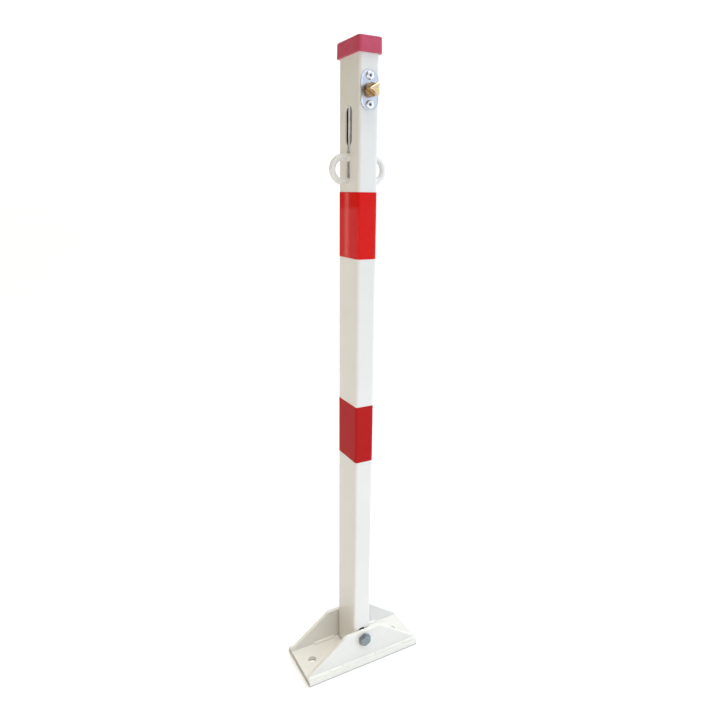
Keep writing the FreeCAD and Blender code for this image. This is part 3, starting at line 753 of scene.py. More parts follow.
def finish_piece(piece: Piece, material: Material, body: str, slot: str,
                 *nodes: str) -> None:
    """Dress a piece and tie it to the frame.

    Args:
        piece: the finished piece.
        material: what it is made of, unless its faces already have materials.
        body: the frame body that it moves with.
        slot: the record's material slot; not used.
        nodes: the frame nodes that it stands for.
    """
    if not piece.data.materials:
        piece.data.materials.append(material)
    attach(piece, body)
    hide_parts(*nodes)
    LOG.info("%s: %d faces on %s", piece.name, len(piece.data.polygons), body)


def finish_inside(piece: Piece, outer: Material, inner: Material,
                  inside: Extent) -> None:
    """Give a piece one finish outside a box and another within it.

    Args:
        piece: the piece.
        outer: its finish outside.
        inner: its finish inside.
        inside: the box.
    """
    piece.data.materials.append(outer)
    piece.data.materials.append(inner)
    with editing(piece):
        pick_faces(piece, lambda centre, normal: all(
            low <= part <= high for low, part, high in zip(inside.low, centre, inside.high)))
        piece.active_material_index = 1
        bpy.ops.object.material_slot_assign()


def dress_nodes(material: Material, *nodes: str) -> None:
    """Give carried-over frame nodes a material.

    Args:
        material: the material.
        nodes: the nodes' names.
    """
    for node in nodes:
        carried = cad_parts[node]
        for place in carried.material_slots:
            place.material = material
        LOG.info("%s: carried over with %s", node, material.name)


# ---- welds


@dataclass
class WeldGun:
    """Lays rippled fillet welds: a row of overlapping blobs, fused, roughened and trimmed.

    A wall is a point and an outward normal of a surface that a run sits on.
    """

    pitch: float = 2.1 * MM
    voxel: float = 0.42 * MM
    unevenness: float = 0.9 * MM
    patch: float = 7 * MM

    def lay(self, name: str, points: list[Vector], leg: float, walls: list[tuple[Vector, Vector]],
            voxel: float | None = None) -> Piece:
        """Lay one run through points.

        Args:
            name: the run's name.
            points: middles of the blobs, along the root of the joint.
            leg: the weld's leg.
            walls: what trims the run.
            voxel: size of the fused mesh's cells, if not the usual one.

        Returns:
            The run, closed and smooth.
        """
        bpy.ops.mesh.primitive_uv_sphere_add(segments=20, ring_count=12, radius=leg, location=points[0])
        run = settle(name)
        blobs = [run]
        for point in points[1:]:
            blob = run.copy()
            blob.data = run.data.copy()
            blob.data.transform(Matrix.Translation(point - points[0]))
            bpy.context.collection.objects.link(blob)
            blobs.append(blob)
        join_as(name, blobs)
        fuse = run.modifiers.new("fuse", "REMESH")
        fuse.mode = "VOXEL"
        fuse.voxel_size = voxel or self.voxel
        relax = run.modifiers.new("relax", "SMOOTH")
        relax.iterations = 2
        texture = bpy.data.textures.new("puddle", "CLOUDS")
        texture.noise_scale = self.patch
        rough = run.modifiers.new("rough", "DISPLACE")
        rough.texture = texture
        rough.strength = self.unevenness
        rough.mid_level = 0.55
        apply_all(run)
        carve(run, [self.wall_block(run, point, outward) for point, outward in walls])
        close_up(run)
        pick_only(run)
        bpy.ops.object.shade_smooth_by_angle(angle=radians(50))
        return run

    def wall_block(self, run: Piece, point: Vector, outward: Vector) -> Piece:
        """Block that stands for a wall, large enough to trim a run.

        Args:
            run: the run to trim.
            point: a point on the wall's surface.
            outward: direction from the run into the wall.

        Returns:
            The block.
        """
        corners = [Vector(corner) for corner in run.bound_box]
        low = Vector([min(corner[axis] for corner in corners) - MM for axis in range(3)])
        high = Vector([max(corner[axis] for corner in corners) + MM for axis in range(3)])
        for axis in range(3):
            if outward[axis] > 0.5:
                low[axis] = point[axis]
            if outward[axis] < -0.5:
                high[axis] = point[axis]
        return add_block("wall", Extent(low, high))

    def seam(self, name: str, start: Vector, end: Vector, leg: float,
             walls: list[tuple[Vector, Vector]]) -> Piece:
        """Lay a straight run, its blobs drawn in from its ends.

        Args:
            name: the run's name.
            start: the run's first end.
            end: its last end.
            leg: the weld's leg.
            walls: what trims the run.

        Returns:
            The run.
        """
        line = end - start
        inset = 0.6 * leg
        span = line.length - 2 * inset
        count = max(3, round(span / self.pitch))
        points = [start + line.normalized() * (inset + span * number / count) for number in range(count + 1)]
        return self.lay(name, points, leg, walls)


# ---- base


@dataclass
class Base:
    """Welded steel foot: base plate, two side plates and the fillet welds between them."""

    finishes: Finishes
    gun: WeldGun
    anchor_radius: float = 7 * MM
    anchor_inset: float = 25 * MM
    plate_corner: float = 2 * MM
    top_half: float = 33 * MM
    end_rise: float = 3 * MM
    side_corner: float = 3 * MM
    bolt_hole: float = 6.25 * MM
    socket_half: Vector = field(default_factory=lambda: Vector((13.2, 3.1, 10)) * MM)
    weld_shares: tuple[float, ...] = (0.187, 0.110, 0.301, 0.273, 0.129)
    weld_gap: float = 1.5 * MM
    inner_near: float = 24 * MM
    skin: float = 0.05 * MM

    def base_plate(self) -> None:
        """Foot plate with chamfered anchor holes and the bar's socket."""
        extent = Extent.of("base_plate")
        plate = add_block("base_plate_steel", extent)
        round_edges(plate, self.plate_corner, 4, is_upright)
        tools = []
        for sign in (-1, 1):
            centre = extent.centre + Vector((sign * (extent.size.x / 2 - self.anchor_inset), 0, 0))
            reach = Vector((0, 0, extent.size.z))
            tools.append(add_rod("anchor tool", self.anchor_radius, centre - reach, centre + reach, 48))
        bar = Extent.of("locking_bar").centre
        middle = Vector((0, bar.y, extent.centre.z))
        tools.append(add_block("socket tool", Extent(middle - self.socket_half, middle + self.socket_half)))
        carve(plate, tools)
        soften(plate, 0.6 * MM)
        finish_piece(plate, self.finishes.foot, "base", "base_paint", "base_plate")

    def side_plate(self, side: str) -> None:
        """Trapezoid ear with rounded shoulders and the bolt's hole.

        Args:
            side: front or back.
        """
        node = f"side_plate_{side}"
        extent = Extent.of(node)
        ear = add_block(f"{node}_steel", extent)
        for sign in (-1, 1):
            low = Vector((sign * extent.size.x / 2, 0, extent.low.z + self.end_rise))
            high = Vector((sign * self.top_half, 0, extent.high.z))
            rise = high - low
            slice_off(ear, low, Vector((sign * rise.z, 0, abs(rise.x))).normalized())
        top = extent.high.z - MM
        round_edges(ear, self.side_corner, 5,
                    lambda a, b: abs((b - a).y) > 5 * MM and min(a.z, b.z) > top)
        carve(ear, [add_pin("bolt tool", self.bolt_hole, Extent.of("hinge_bolt").centre.z, extent.low.y - MM,
                            extent.high.y + MM)])
        soften(ear, 0.7 * MM)
        finish_piece(ear, self.finishes.base, "base", "base_paint", node)

    def walls(self, root_y: float, sign: int, floor: float) -> list[tuple[Vector, Vector]]:
        """Walls of a weld in the corner between an ear and the foot plate.

        Args:
            root_y: the ear's face.
            sign: direction from the ear to the weld.
            floor: the foot plate's top.

        Returns:
            Both walls, sunk by the skin that the weld laps over.
        """
        return [(Vector((0, root_y - sign * self.skin, 0)), Vector((0, -sign, 0))),
                (Vector((0, 0, floor - self.skin)), Vector((0, 0, -1)))]

    def outer_welds(self, side: str) -> None:
        """Five uneven runs along the outside of one ear.

        Args:
            side: front or back.
        """
        node = f"weld_beads_{side}"
        extent = Extent.of(node)
        sign = 1 if side == "back" else -1
        root_y = extent.low.y if sign > 0 else extent.high.y
        leg = extent.size.z
        walls = self.walls(root_y, sign, extent.low.z)
        length = extent.size.x - self.weld_gap * (len(self.weld_shares) - 1)
        start = extent.low.x
        runs = []
        for number, share in enumerate(self.weld_shares):
            end = start + share * length
            ends = [Vector((x, root_y, extent.low.z)) for x in (start, end)]
            runs.append(self.gun.seam(f"{node}_{number}", *ends, leg * (0.98 - 0.05 * (number % 2)), walls))
            start = end + self.weld_gap
        finish_piece(join_as(f"{node}_runs", runs), self.finishes.base, "base", "base_paint", node)

    def inner_welds(self) -> None:
        """Short runs inside both ears, clear of the post's foot."""
        extent = Extent.of("weld_beads_inner")
        leg = extent.size.z
        runs = []
        for root_y, sign in ((extent.low.y, 1), (extent.high.y, -1)):
            walls = self.walls(root_y, sign, extent.low.z)
            for start, end in ((extent.low.x, -self.inner_near), (self.inner_near, extent.high.x)):
                ends = [Vector((x, root_y, extent.low.z)) for x in (start, end)]
                runs.append(self.gun.seam(f"inner_run_{len(runs)}", *ends, leg, walls))
        finish_piece(join_as("weld_beads_inner_runs", runs), self.finishes.base, "base", "base_paint",
                     "weld_beads_inner")

    def build(self) -> None:
        """Make the whole foot."""
        self.base_plate()
        for side in ("front", "back"):
            self.side_plate(side)
            self.outer_welds(side)
        self.inner_welds()


@dataclass
class Hinge:
    """Hexagon bolt, washer and lock nut that the post turns on."""

    finishes: Finishes
    across: float = 19 * MM
    head: float = 7.5 * MM
    shank: float = 6 * MM
    thread_pitch: float = 1.75 * MM
    thread_turns: int = 6
    root_share: float = 0.86
    face_share: float = 0.43
    nut_flats: float = 6 * MM
    collar_share: float = 0.42
    ring_share: float = 0.37
    washer_face: float = 0.6 * MM
    washer_face_share: float = 0.47
    bore_gap: float = 0.05 * MM

    def hexagon(self, name: str, height: float, start: float, end: float) -> Piece:
        """Hexagon along Y with its corners chamfered at its start.

        Args:
            name: the piece's name.
            height: height of its axis.
            start: its chamfered end on Y.
            end: its other end.

        Returns:
            The hexagon.
        """
        body = add_pin(name, self.across / 3 ** 0.5, height, start, end, 6)
        length = end - start
        face = self.face_share * self.across
        bpy.ops.mesh.primitive_cone_add(
            vertices=96, radius1=face, radius2=face + 3 ** 0.5 * length, depth=length,
            location=(0, (start + end) / 2, height), rotation=Along.Y.value.to_track_quat("Z", "Y").to_euler())
        carve(body, [settle("chamfer tool")], Carve.SHARE)
        return body

    def bolt(self) -> None:
        """Bolt with a chamfered head, its washer face and the threaded end."""
        extent = Extent.of("hinge_bolt")
        height = extent.centre.z
        under_head = extent.low.y + self.head
        flats_end = under_head - self.washer_face
        thread_start = extent.high.y - self.thread_turns * self.thread_pitch
        bolt = self.hexagon("hinge_bolt_zinc", height, extent.low.y, flats_end)
        collar = add_pin("washer face", self.washer_face_share * self.across, height,
                         under_head - 1.2 * self.washer_face, under_head)
        shank = add_pin("shank", self.shank, height, flats_end, thread_start, 48)
        carve(bolt, [collar, shank], Carve.ADD)
        carve(bolt, [self.thread(height, thread_start - 0.2 * MM, extent.high.y)], Carve.ADD)
        soften(bolt, 0.18 * MM, 2, 24)
        finish_piece(bolt, self.finishes.zinc, "base", "zinc_fastener", "hinge_bolt")

    def thread(self, height: float, start: float, end: float) -> Piece:
        """Thread as a stack of crests and roots, extruded turn by turn.

        Args:
            height: height of its axis.
            start: its first end on Y.
            end: its last end.

        Returns:
            The threaded rod.
        """
        step = (end - start) / (2 * self.thread_turns)
        rod = add_pin("thread", self.shank * self.root_share, height, start, start + step, 48)
        with editing(rod):
            pick_faces(rod, lambda centre, normal: normal.y > 0.9)
            for number in range(2 * self.thread_turns - 1):
                grow = 1 / self.root_share if number % 2 == 0 else self.root_share
                bpy.ops.mesh.extrude_region_move(TRANSFORM_OT_translate={"value": (0, step, 0)})
                bpy.ops.transform.resize(value=(grow, 1, grow),
                                         center_override=(0, start + step * (number + 2), height))
        return rod

    def nut(self) -> None:
        """Lock nut with a rounded collar, and its nylon ring."""
        extent = Extent.of("hinge_lock_nut")
        ring = Extent.of("lock_nut_ring")
        height = extent.centre.z
        front, back = extent.low.y, extent.high.y
        bore, seat = self.shank + self.bore_gap, self.ring_share * self.across
        nut = self.hexagon("lock_nut_zinc", height, front, front + self.nut_flats)
        collar = add_pin("collar", self.collar_share * self.across, height, front + 0.9 * self.nut_flats, back)
        round_edges(collar, 0.6 * MM, 4, lambda a, b: min(a.y, b.y) > back - 0.1 * MM)
        carve(nut, [collar], Carve.ADD)
        carve(nut, [add_pin("bore", bore, height, front - MM, back + MM),
                    add_pin("seat", seat, height, ring.low.y, ring.high.y + MM)])
        soften(nut, 0.2 * MM, 2, 24)
        finish_piece(nut, self.finishes.zinc, "base", "zinc_fastener", "hinge_lock_nut")

        insert = add_pin("lock_nut_ring_nylon", seat - self.bore_gap, height, ring.low.y, ring.high.y)
        carve(insert, [add_pin("bore", bore, height, ring.low.y - MM, ring.high.y + MM)])
        soften(insert, 0.3 * MM)
        finish_piece(insert, self.finishes.nylon, "base", "nylon", "lock_nut_ring")

    def washer(self) -> None:
        """Plain washer behind the rear side plate."""
        extent = Extent.of("hinge_washer")
        height, front, back = extent.centre.z, extent.low.y, extent.high.y
        washer = add_pin("hinge_washer_zinc", extent.size.x / 2, height, front, back)
        carve(washer, [add_pin("bore", self.shank + 0.25 * MM, height, front - MM, back + MM)])
        soften(washer, 0.3 * MM)
        finish_piece(washer, self.finishes.zinc, "base", "zinc_fastener", "hinge_washer")

    def build(self) -> None:
        """Make the hinge's fasteners."""
        self.bolt()
        self.nut()
        self.washer()
        dress_nodes(self.finishes.nylon, "pivot_bush_front", "pivot_bush_back")


# ---- post


@dataclass
class Post:
    """Rectangular tube with its holes, cap, bands and chain eyes."""

    finishes: Finishes
    gun: WeldGun
    wall: float = 2 * MM
    corner: float = 4 * MM
    slot_narrow: float = 4.6 * MM
    slot_wide: float = 9.75 * MM
    keyhole_top: float = 78.5 * MM
    keyhole_tall: float = 52.5 * MM
    pivot_hole: float = 7.05 * MM
    drain_half: float = 5.5 * MM
    drain_radius: float = 4 * MM
    drain_above: float = 12.5 * MM
    lock_hole: float = 6.25 * MM
    lock_drop: float = 62 * MM
    rivet_reach: float = 17.8 * MM
    rivet_hole: float = 2.45 * MM
    cap_draft: float = 0.985
    cap_corner: float = 5.6 * MM
    cap_crown: float = 1.9 * MM
    cap_gap: float = 0.2 * MM
    eye_leg: float = 1.7 * MM
    eye_blobs: int = 14

    def slot_tool(self, name: str, radius: float, first: Vector, last: Vector, along: Along,
                  reach: float) -> list[Piece]:
        """Tools for a slot with round ends.

        Args:
            name: the tools' name.
            radius: half the slot's width.
            first: middle of the round end that is lower, or nearer to -X.
            last: middle of the other.
            along: axis that the slot is cut along.
            reach: how far each tool goes to both sides.

        Returns:
            Two rods and the block between them.
        """
        step = along.value * reach
        rods = [add_rod(name, radius, point - step, point + step, 48) for point in (first, last)]
        side = Vector([abs(part) for part in along.value.cross((last - first).normalized()) * radius])
        return [*rods, add_block(name, Extent(first - step - side, last + step + side))]

    def tube(self) -> None:
        """Hollow tube with softened corners and every hole of the real one."""
        extent = Extent.of("post_tube")
        tube = add_block("post_tube_steel", extent)
        round_edges(tube, self.corner, 8, is_upright)
        hollow = add_block("hollow tool", extent.grown(-self.wall, -self.wall, 0.01))
        round_edges(hollow, self.corner - self.wall, 6, is_upright)
        carve(tube, [hollow])

        eye = Extent.of("chain_eye_left")
        rod = eye.size.y / 2
        top = extent.high.z - self.keyhole_top
        shoulder = top - self.keyhole_tall
        pivot = Extent.of("hinge_bolt").centre.z
        lock = extent.high.z - self.lock_drop
        across, through = 0.05, 0.08
        tools = self.slot_tool("narrow tool", self.slot_narrow, Vector((0, 0, eye.low.z + rod)),
                               Vector((0, 0, shoulder)), Along.X, across)
        tools += self.slot_tool("wide tool", self.slot_wide, Vector((0, 0, shoulder + self.slot_wide)),
                                Vector((0, 0, top - self.slot_wide)), Along.X, across)
        level = Vector((self.drain_half - self.drain_radius, 0, 0))
        drain = Vector((0, 0, pivot + self.drain_above))
        tools += self.slot_tool("drain tool", self.drain_radius, drain - level, drain + level, Along.Y, through)
        tools.append(add_pin("pivot tool", self.pivot_hole, pivot, -through, through))
        for height, radius in ((lock, self.lock_hole), (lock + self.rivet_reach, self.rivet_hole),
                               (lock - self.rivet_reach, self.rivet_hole)):
            tools.append(add_pin("front tool", radius, height, -through, 0))
        carve(tube, tools)
        soften(tube, 0.35 * MM, 2)
        inside = extent.grown(-0.95 * self.wall, -0.95 * self.wall, MM)
        finish_inside(tube, self.finishes.post, self.finishes.steel, inside)
        finish_piece(tube, self.finishes.post, "post", "post_paint", "post_tube")

    def bands(self) -> None:
        """Red film round the tube, its ends lapped at the middle of the rear face."""
        for node in ("reflective_band_lower", "reflective_band_upper"):
            extent = Extent.of(node)
            film = add_block(f"{node}_film", extent)
            round_edges(film, self.corner + 0.35 * MM, 8, is_upright)
            hollow = add_block("film tool", extent.grown(-0.28 * MM, -0.28 * MM, 0.01))
            round_edges(hollow, self.corner + 0.05 * MM, 8, is_upright)
            carve(film, [hollow])
            lap = Extent(Vector((-6 * MM, extent.high.y - 0.05 * MM, extent.low.z)),
                         Vector((6 * MM, extent.high.y + 0.22 * MM, extent.high.z)))
            carve(film, [add_block("lap", lap)], Carve.ADD)
            soften(film, 0.08 * MM, 2)
            finish_piece(film, self.finishes.red, "post", "red_reflective", node)

    def cap(self) -> None:
        """Moulded cap: drafted skirt, crowned top, hollow under it and the plug that grips the tube."""
        extent = Extent.of("top_cap")
        tube = Extent.of("post_tube")
        shell = add_block("top_cap_plastic", extent)
        with editing(shell):
            pick_faces(shell, lambda centre, normal: normal.z > 0.9)
            bpy.ops.transform.resize(value=(self.cap_draft, self.cap_draft, 1), center_override=extent.centre)
        round_edges(shell, self.cap_corner, 8, lambda a, b: abs((b - a).z) > 10 * MM)
        top = extent.high.z - 0.1 * MM
        round_edges(shell, self.cap_crown, 6, lambda a, b: min(a.z, b.z) > top)
        gap = self.cap_gap
        hollow = Extent(tube.low - Vector((gap, gap, 0)), tube.high + Vector((gap, gap, 0)))
        tool = add_block("hollow tool", hollow)
        round_edges(tool, self.corner + gap, 8, is_upright)
        carve(shell, [tool])
        inset = self.wall + gap
        plug = Extent(Vector((tube.low.x + inset, tube.low.y + inset, extent.low.z + 2 * MM)),
                      Vector((tube.high.x - inset, tube.high.y - inset, tube.high.z + MM)))
        plug_block = add_block("plug", plug)
        round_edges(plug_block, 2 * MM, 4, is_upright)
        bore = add_block("plug bore", plug.grown(-2 * MM, -2 * MM, 0))
        bore.data.transform(Matrix.Translation((0, 0, -MM)))
        carve(plug_block, [bore])
        carve(shell, [plug_block], Carve.ADD)
        soften(shell, 0.35 * MM, 2, 40)
        finish_piece(shell, self.finishes.cap, "post", "cap_plastic", "top_cap")

    def chain_eye(self, side: str) -> None:
        """Half ring bent from round rod, with the paint-filled welds at its legs.

        Args:
            side: left or right.
        """
        sign = -1 if side == "left" else 1
        node = f"chain_eye_{side}"
        extent = Extent.of(node)
        rod = extent.size.y / 2
        outer = max(abs(extent.low.x), abs(extent.high.x))
        inner = min(abs(extent.low.x), abs(extent.high.x))
        radius = extent.size.z / 2 - rod
        height = extent.centre.z
        bend_x = outer - rod - radius
        legs = [Vector((sign * x, 0, height - radius)) for x in (inner, bend_x)]
        bow = add_rod(f"{node}_rod", rod, *legs, 32)
        with editing(bow):
            pick_faces(bow, lambda centre, normal: sign * normal.x > 0.9)
            bpy.ops.mesh.spin(steps=28, angle=sign * pi, center=(sign * bend_x, 0, height), axis=(0, 1, 0))
            bpy.ops.mesh.extrude_region_move(
                TRANSFORM_OT_translate={"value": (-sign * (bend_x - inner), 0, 0)})
        close_up(bow)
        smooth(bow)
        finish_piece(bow, self.finishes.post, "post", "post_paint", node)

        face = Extent.of(f"eye_welds_{side}")
        face_x = face.low.x if sign > 0 else face.high.x
        rings = []
        for step in (-1, 1):
            middle = Vector((face_x, 0, height + step * radius))
            turns = [Matrix.Rotation(2 * pi * number / self.eye_blobs, 3, "X") for number in range(self.eye_blobs)]
            points = [middle + turn @ Vector((0, 0, rod)) for turn in turns]
            wall = (Vector((face_x - sign * self.gun.voxel / 4, 0, 0)), Vector((-sign, 0, 0)))
            rings.append(self.gun.lay(f"eye_weld_{side}_{step}", points, self.eye_leg, [wall], 0.3 * MM))
        finish_piece(join_as(f"eye_welds_{side}_fillets", rings), self.finishes.post, "post", "post_paint",
                     f"eye_welds_{side}")

    def build(self) -> None:
        """Make the post and what is fixed to it."""
        self.tube()
        self.bands()
        self.cap()
        for side in ("left", "right"):
            self.chain_eye(side)
        dress_nodes(self.finishes.nylon, "bar_guide_lower", "bar_guide_middle", "bar_guide_upper")


# ---- lock


@dataclass
class Lock:
    """Lock plate, rivets and triangular-key spindle, with the works behind them."""

    finishes: Finishes
    rivet_reach: float = 17.8 * MM
    rivet_hole: float = 2.45 * MM
    spindle_hole: float = 6.25 * MM
    mandrel: float = 1.5 * MM
    rivet_shank: float = 2.4 * MM
    rivet_bulb: float = 3.6 * MM
    bulb_long: float = 4 * MM
    dome_share: float = 0.88
    rim_wide: float = 0.9 * MM
    rim_slope: float = 0.7 * MM
    rim_deep: float = 0.25 * MM
    collar_long: float = 6.2 * MM
    head_long: float = 12 * MM
    head_circle: float = 9.6 * MM
    journal: float = 6 * MM
    tenon_half: float = 3.5 * MM

    @property
    def height(self) -> float:
        """Height of the spindle's axis."""
        return Extent.of("key_spindle").centre.z

    def plate(self) -> None:
        """Stadium plate, stamped so that its front edge is rolled over."""
        extent = Extent.of("lock_plate")
        plate = add_block("lock_plate_steel", extent)
        round_edges(plate, extent.size.x / 2 - 0.02 * MM, 20, lambda a, b: abs((b - a).y) > MM)
        for up, radius, sides in ((0, self.spindle_hole, 64), (-self.rivet_reach, self.rivet_hole, 32),
                                  (self.rivet_reach, self.rivet_hole, 32)):
            carve(plate, [add_pin("hole tool", radius, self.height + up, extent.low.y - MM, extent.high.y + MM, sides)])
        front = extent.low.y + 0.05 * MM
        with editing(plate):
            pick_faces(plate, lambda centre, normal: normal.y < -0.99 and centre.y < front)
            bpy.ops.mesh.inset(thickness=self.rim_wide, depth=0)
            bpy.ops.mesh.inset(thickness=self.rim_slope, depth=-self.rim_deep)
        soften(plate, 0.35 * MM, 3, 40)
        finish_piece(plate, self.finishes.bright, "post", "bright_steel", "lock_plate")

    def rivet(self, up: float) -> Piece:
        """Blind rivet: dome, open mandrel hole, shank and set tail.

        Args:
            up: height above the spindle's axis.

        Returns:
            The rivet.
        """
        extent = Extent.of("lock_rivets")
        radius, height = extent.size.x / 2, self.height + up
        front, seat, tail = extent.low.y, Extent.of("lock_plate").low.y, extent.high.y
        head = add_pin("lock_rivet", radius, height, seat, front, 48)
        rim = front + 0.1 * MM
        dome = self.dome_share * (seat - front)
        round_edges(head, dome, 8, lambda a, b: max(a.y, b.y) < rim)
        with editing(head):
            pick_faces(head, lambda centre, normal: normal.y < -0.99 and centre.y < rim)
            bpy.ops.mesh.inset(thickness=radius - dome - self.mandrel - 0.5 * MM)
            bpy.ops.mesh.inset(thickness=0.5 * MM)
            bpy.ops.mesh.extrude_region_move(TRANSFORM_OT_translate={"value": (0, 2.2 * MM, 0)})
        shank = add_pin("shank", self.rivet_shank, height, seat - 0.3 * MM, tail, 32)
        bulb = add_pin("bulb", self.rivet_bulb, height, tail - self.bulb_long, tail, 32)
        back = tail - self.bulb_long - 0.5 * MM
        round_edges(bulb, 1.2 * MM, 4, lambda a, b: min(a.y, b.y) > back and abs((b - a).y) < 0.1 * MM)
        carve(head, [shank, bulb], Carve.ADD)
        # mandrel end at the bottom of the hole, its near-black partly painted shade
        pin = add_pin("mandrel", self.mandrel - 0.15 * MM, height, front + 1.5 * MM, front + 2.6 * MM, 24)
        smooth(head, 32)
        head.data.materials.append(self.finishes.aluminium)
        pin.data.materials.append(self.finishes.mandrel)
        round_edges(pin, 0.25 * MM, 3, lambda a, b: abs((b - a).y) < 0.05 * MM)
        return join_as("lock_rivet", [head, pin])

    def rivets(self) -> None:
        """Both rivets as one piece."""
        pair = [self.rivet(up) for up in (-self.rivet_reach, self.rivet_reach)]
        finish_piece(join_as("lock_rivets_steel", pair), self.finishes.bright, "post", "bright_steel", "lock_rivets")

    def spindle(self) -> None:
        """Brass spindle: chamfered triangle, round collar and journal."""
        extent = Extent.of("key_spindle")
        radius, height, tip, end = extent.size.x / 2, self.height, extent.low.y, extent.high.y
        shoulder = tip + self.head_long
        back = shoulder + self.collar_long
        triangle = add_pin("key_spindle_brass", self.head_circle, height, tip, shoulder + 0.5 * MM, 3)
        corner = triangle.data.vertices[0].co - Vector((0, 0, height))
        self.turn(triangle, corner.xz.angle_signed(Vector((-1, 0))))
        rim = tip + 0.1 * MM
        round_edges(triangle, 1.5 * MM, 3, lambda a, b: max(a.y, b.y) < rim)
        carve(triangle, [add_pin("limit", radius, height, tip - MM, shoulder + MM, 96)], Carve.SHARE)
        collar = add_pin("collar", radius, height, shoulder, back, 96)
        round_edges(collar, 0.5 * MM, 3, lambda a, b: abs((b - a).y) < 0.1 * MM)
        journal = add_pin("journal", self.journal, height, back - MM, end - 5 * MM)
        half = self.tenon_half
        tenon = add_block("tenon", Extent(Vector((-half, end - 6 * MM, height - half)),
                                          Vector((half, end, height + half))))
        self.turn(tenon, pi / 4)
        carve(triangle, [collar, journal, tenon], Carve.ADD)
        soften(triangle, 0.22 * MM, 2, 40)
        finish_piece(triangle, self.finishes.brass, "key_spindle", "brass", "key_spindle")

    def turn(self, piece: Piece, angle: float) -> None:
        """Turn a piece's mesh about the spindle's axis."""
        middle = Matrix.Translation((0, 0, self.height))
        piece.data.transform(middle @ Matrix.Rotation(angle, 4, "Y") @ middle.inverted())

    def build(self) -> None:
        """Make the lock."""
        self.plate()
        self.rivets()
        self.spindle()
        dress_nodes(self.finishes.casting, "lock_housing")
        dress_nodes(self.finishes.bright, "friction_washer", "crank_disc", "crank_pin")
        dress_nodes(self.finishes.zinc, "crank_screw")
        dress_nodes(self.finishes.bar, "locking_bar")


# ---- studio


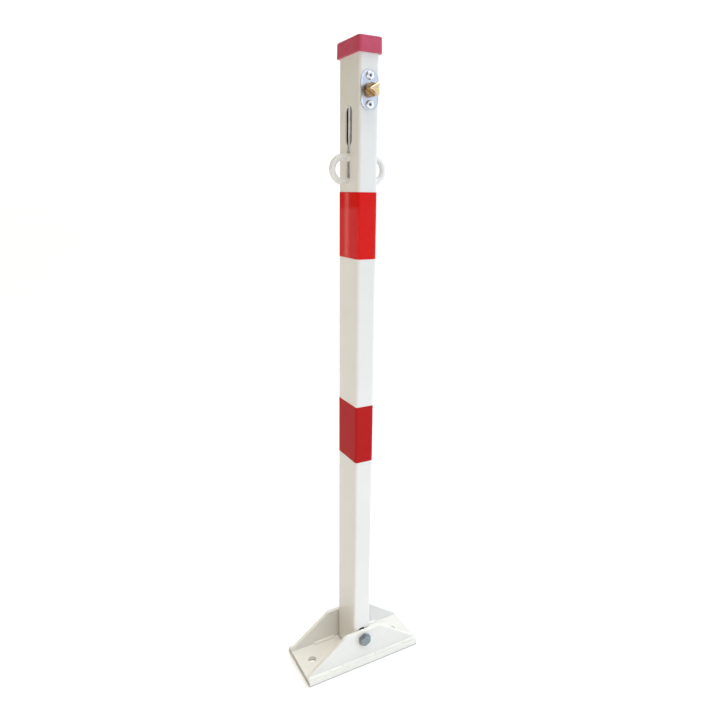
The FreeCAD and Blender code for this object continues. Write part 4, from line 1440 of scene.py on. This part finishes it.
@dataclass
class Studio:
    """Pale floor, soft light and the camera."""

    finishes: Finishes
    camera_at: Vector = field(default_factory=lambda: Vector((-0.4113, -0.7694, 0.7800)))
    heading: float = 28.52
    tilt: float = -15.78
    roll: float = 0.65
    lens: float = 29.42
    floor_half: float = 30.0
    sky_back: Colour = (1.08, 1.08, 1.08)
    sky_front: Colour = (0.80, 0.87, 0.96)
    sky_left: Colour = (0.30, 0.25, 0.16)

    def floor(self) -> None:
        """Wide floor just under the base plate."""
        bpy.ops.mesh.primitive_plane_add(size=2 * self.floor_half, location=(0, 0, -0.3 * MM))
        floor = settle("floor")
        floor.data.materials.append(self.finishes.floor)

    def camera(self) -> None:
        """Camera a little above the middle of the post, turned to its front left edge."""
        data = bpy.data.cameras.new("camera")
        data.lens = self.lens
        data.sensor_width = 36
        camera = bpy.data.objects.new("camera", data)
        camera.matrix_world = (Matrix.Translation(self.camera_at)
                               @ Matrix.Rotation(-radians(self.heading), 4, "Z")
                               @ Matrix.Rotation(radians(90 + self.tilt), 4, "X")
                               @ Matrix.Rotation(radians(self.roll), 4, "Z"))
        bpy.context.collection.objects.link(camera)
        bpy.context.scene.camera = camera

    def panel(self, name: str, at: Vector, aim: Vector, size: tuple[float, float], power: float,
              colour: Colour, spread: float = 180) -> None:
        """Rectangular soft light.

        Args:
            name: the light's name.
            at: where it hangs.
            aim: what it faces.
            size: its width and height.
            power: watts.
            colour: its tint.
            spread: degrees across that its beam covers.
        """
        data = bpy.data.lights.new(name, "AREA")
        data.shape = "RECTANGLE"
        data.size, data.size_y = size
        data.spread = radians(spread)
        self.hang(data, power, colour, at, at - aim).visible_camera = False

    def overhead(self, strength: float, colour: Colour, towards: Vector, spread: float) -> None:
        """Wide even light from above, which keeps the floor pale all over.

        Args:
            strength: its irradiance.
            colour: its tint.
            towards: direction from the object to the light.
            spread: degrees across that it covers in the sky.
        """
        data = bpy.data.lights.new("overhead", "SUN")
        data.angle = radians(spread)
        self.hang(data, strength, colour, Vector(), towards)

    def hang(self, data: bpy.types.Light, strength: float, colour: Colour, at: Vector, back: Vector) -> Piece:
        """Hang a light that shines away from a direction.

        Args:
            data: the light.
            strength: its power or irradiance.
            colour: its tint.
            at: where it hangs.
            back: direction that its back faces.

        Returns:
            The light's object.
        """
        data.energy, data.color = strength, colour
        light = bpy.data.objects.new(data.name, data)
        light.matrix_world = Matrix.Translation(at) @ back.to_track_quat("Z", "Y").to_matrix().to_4x4()
        bpy.context.collection.objects.link(light)
        return light

    def sky(self) -> None:
        """White backdrop, lit as if it were cooler towards -Y, and dimmer and warmer towards -X."""
        world = bpy.data.worlds.new("surroundings")
        bpy.context.scene.world = world
        world.use_nodes = True
        sky = Patterns(world.node_tree, "Generated")
        cooler = sky.blend(sky.ramp(sky.along("Y"), 0.05, -0.5), self.sky_back, self.sky_front)
        dimmer = sky.blend(sky.ramp(sky.along("X"), -0.03, -0.35), cooler, self.sky_left)
        surroundings = sky.tree.nodes["Background"]
        sky.link(dimmer, surroundings.inputs["Color"])
        backdrop = sky.add("ShaderNodeBackground")
        backdrop.inputs["Color"].default_value = (*self.sky_back, 1)
        choice = sky.add("ShaderNodeMixShader")
        sky.link(sky.add("ShaderNodeLightPath").outputs["Is Camera Ray"], choice.inputs["Fac"])
        sky.link(surroundings.outputs["Background"], choice.inputs[1])
        sky.link(backdrop.outputs["Background"], choice.inputs[2])
        sky.link(choice.outputs["Shader"], sky.tree.nodes["World Output"].inputs["Surface"])

    def build(self) -> None:
        """Set the stage."""
        self.floor()
        self.camera()
        self.sky()
        middle = Vector((0, 0, 0.5))
        self.panel("key", Vector((1.9, -1.6, 0.9)), middle, (1.0, 1.4), 12.7, (0.56, 0.79, 1.17))
        self.panel("left fill", Vector((-0.8, -0.1, 0.6)), middle, (0.15, 0.3), 0.9, (1.0, 0.90, 0.76))
        self.panel("left strip", Vector((-1.25, 2.42, 0.62)), middle, (0.022, 1.0), 0.2, (1.0, 0.95, 0.86))
        self.panel("foot light", Vector((-0.1, -0.55, 1.3)), Vector((0, 0.02, 0.03)), (0.15, 0.15), 0.06,
                   (1.0, 0.95, 0.88), 30)
        self.overhead(1.15, (1.0, 0.985, 0.93), Vector((-0.02, -0.32, 0.94)), 30)
        view = bpy.context.scene.view_settings
        view.view_transform = "Standard"


def main() -> None:
    """Build the bollard and its studio."""
    logging.basicConfig(level=logging.INFO, format="%(message)s")
    finishes = Finishes()
    Studio(finishes).build()
    gun = WeldGun()
    Base(finishes, gun).build()
    Hinge(finishes).build()
    Post(finishes, gun).build()
    Lock(finishes).build()


if __name__ == "__main__":
    main()
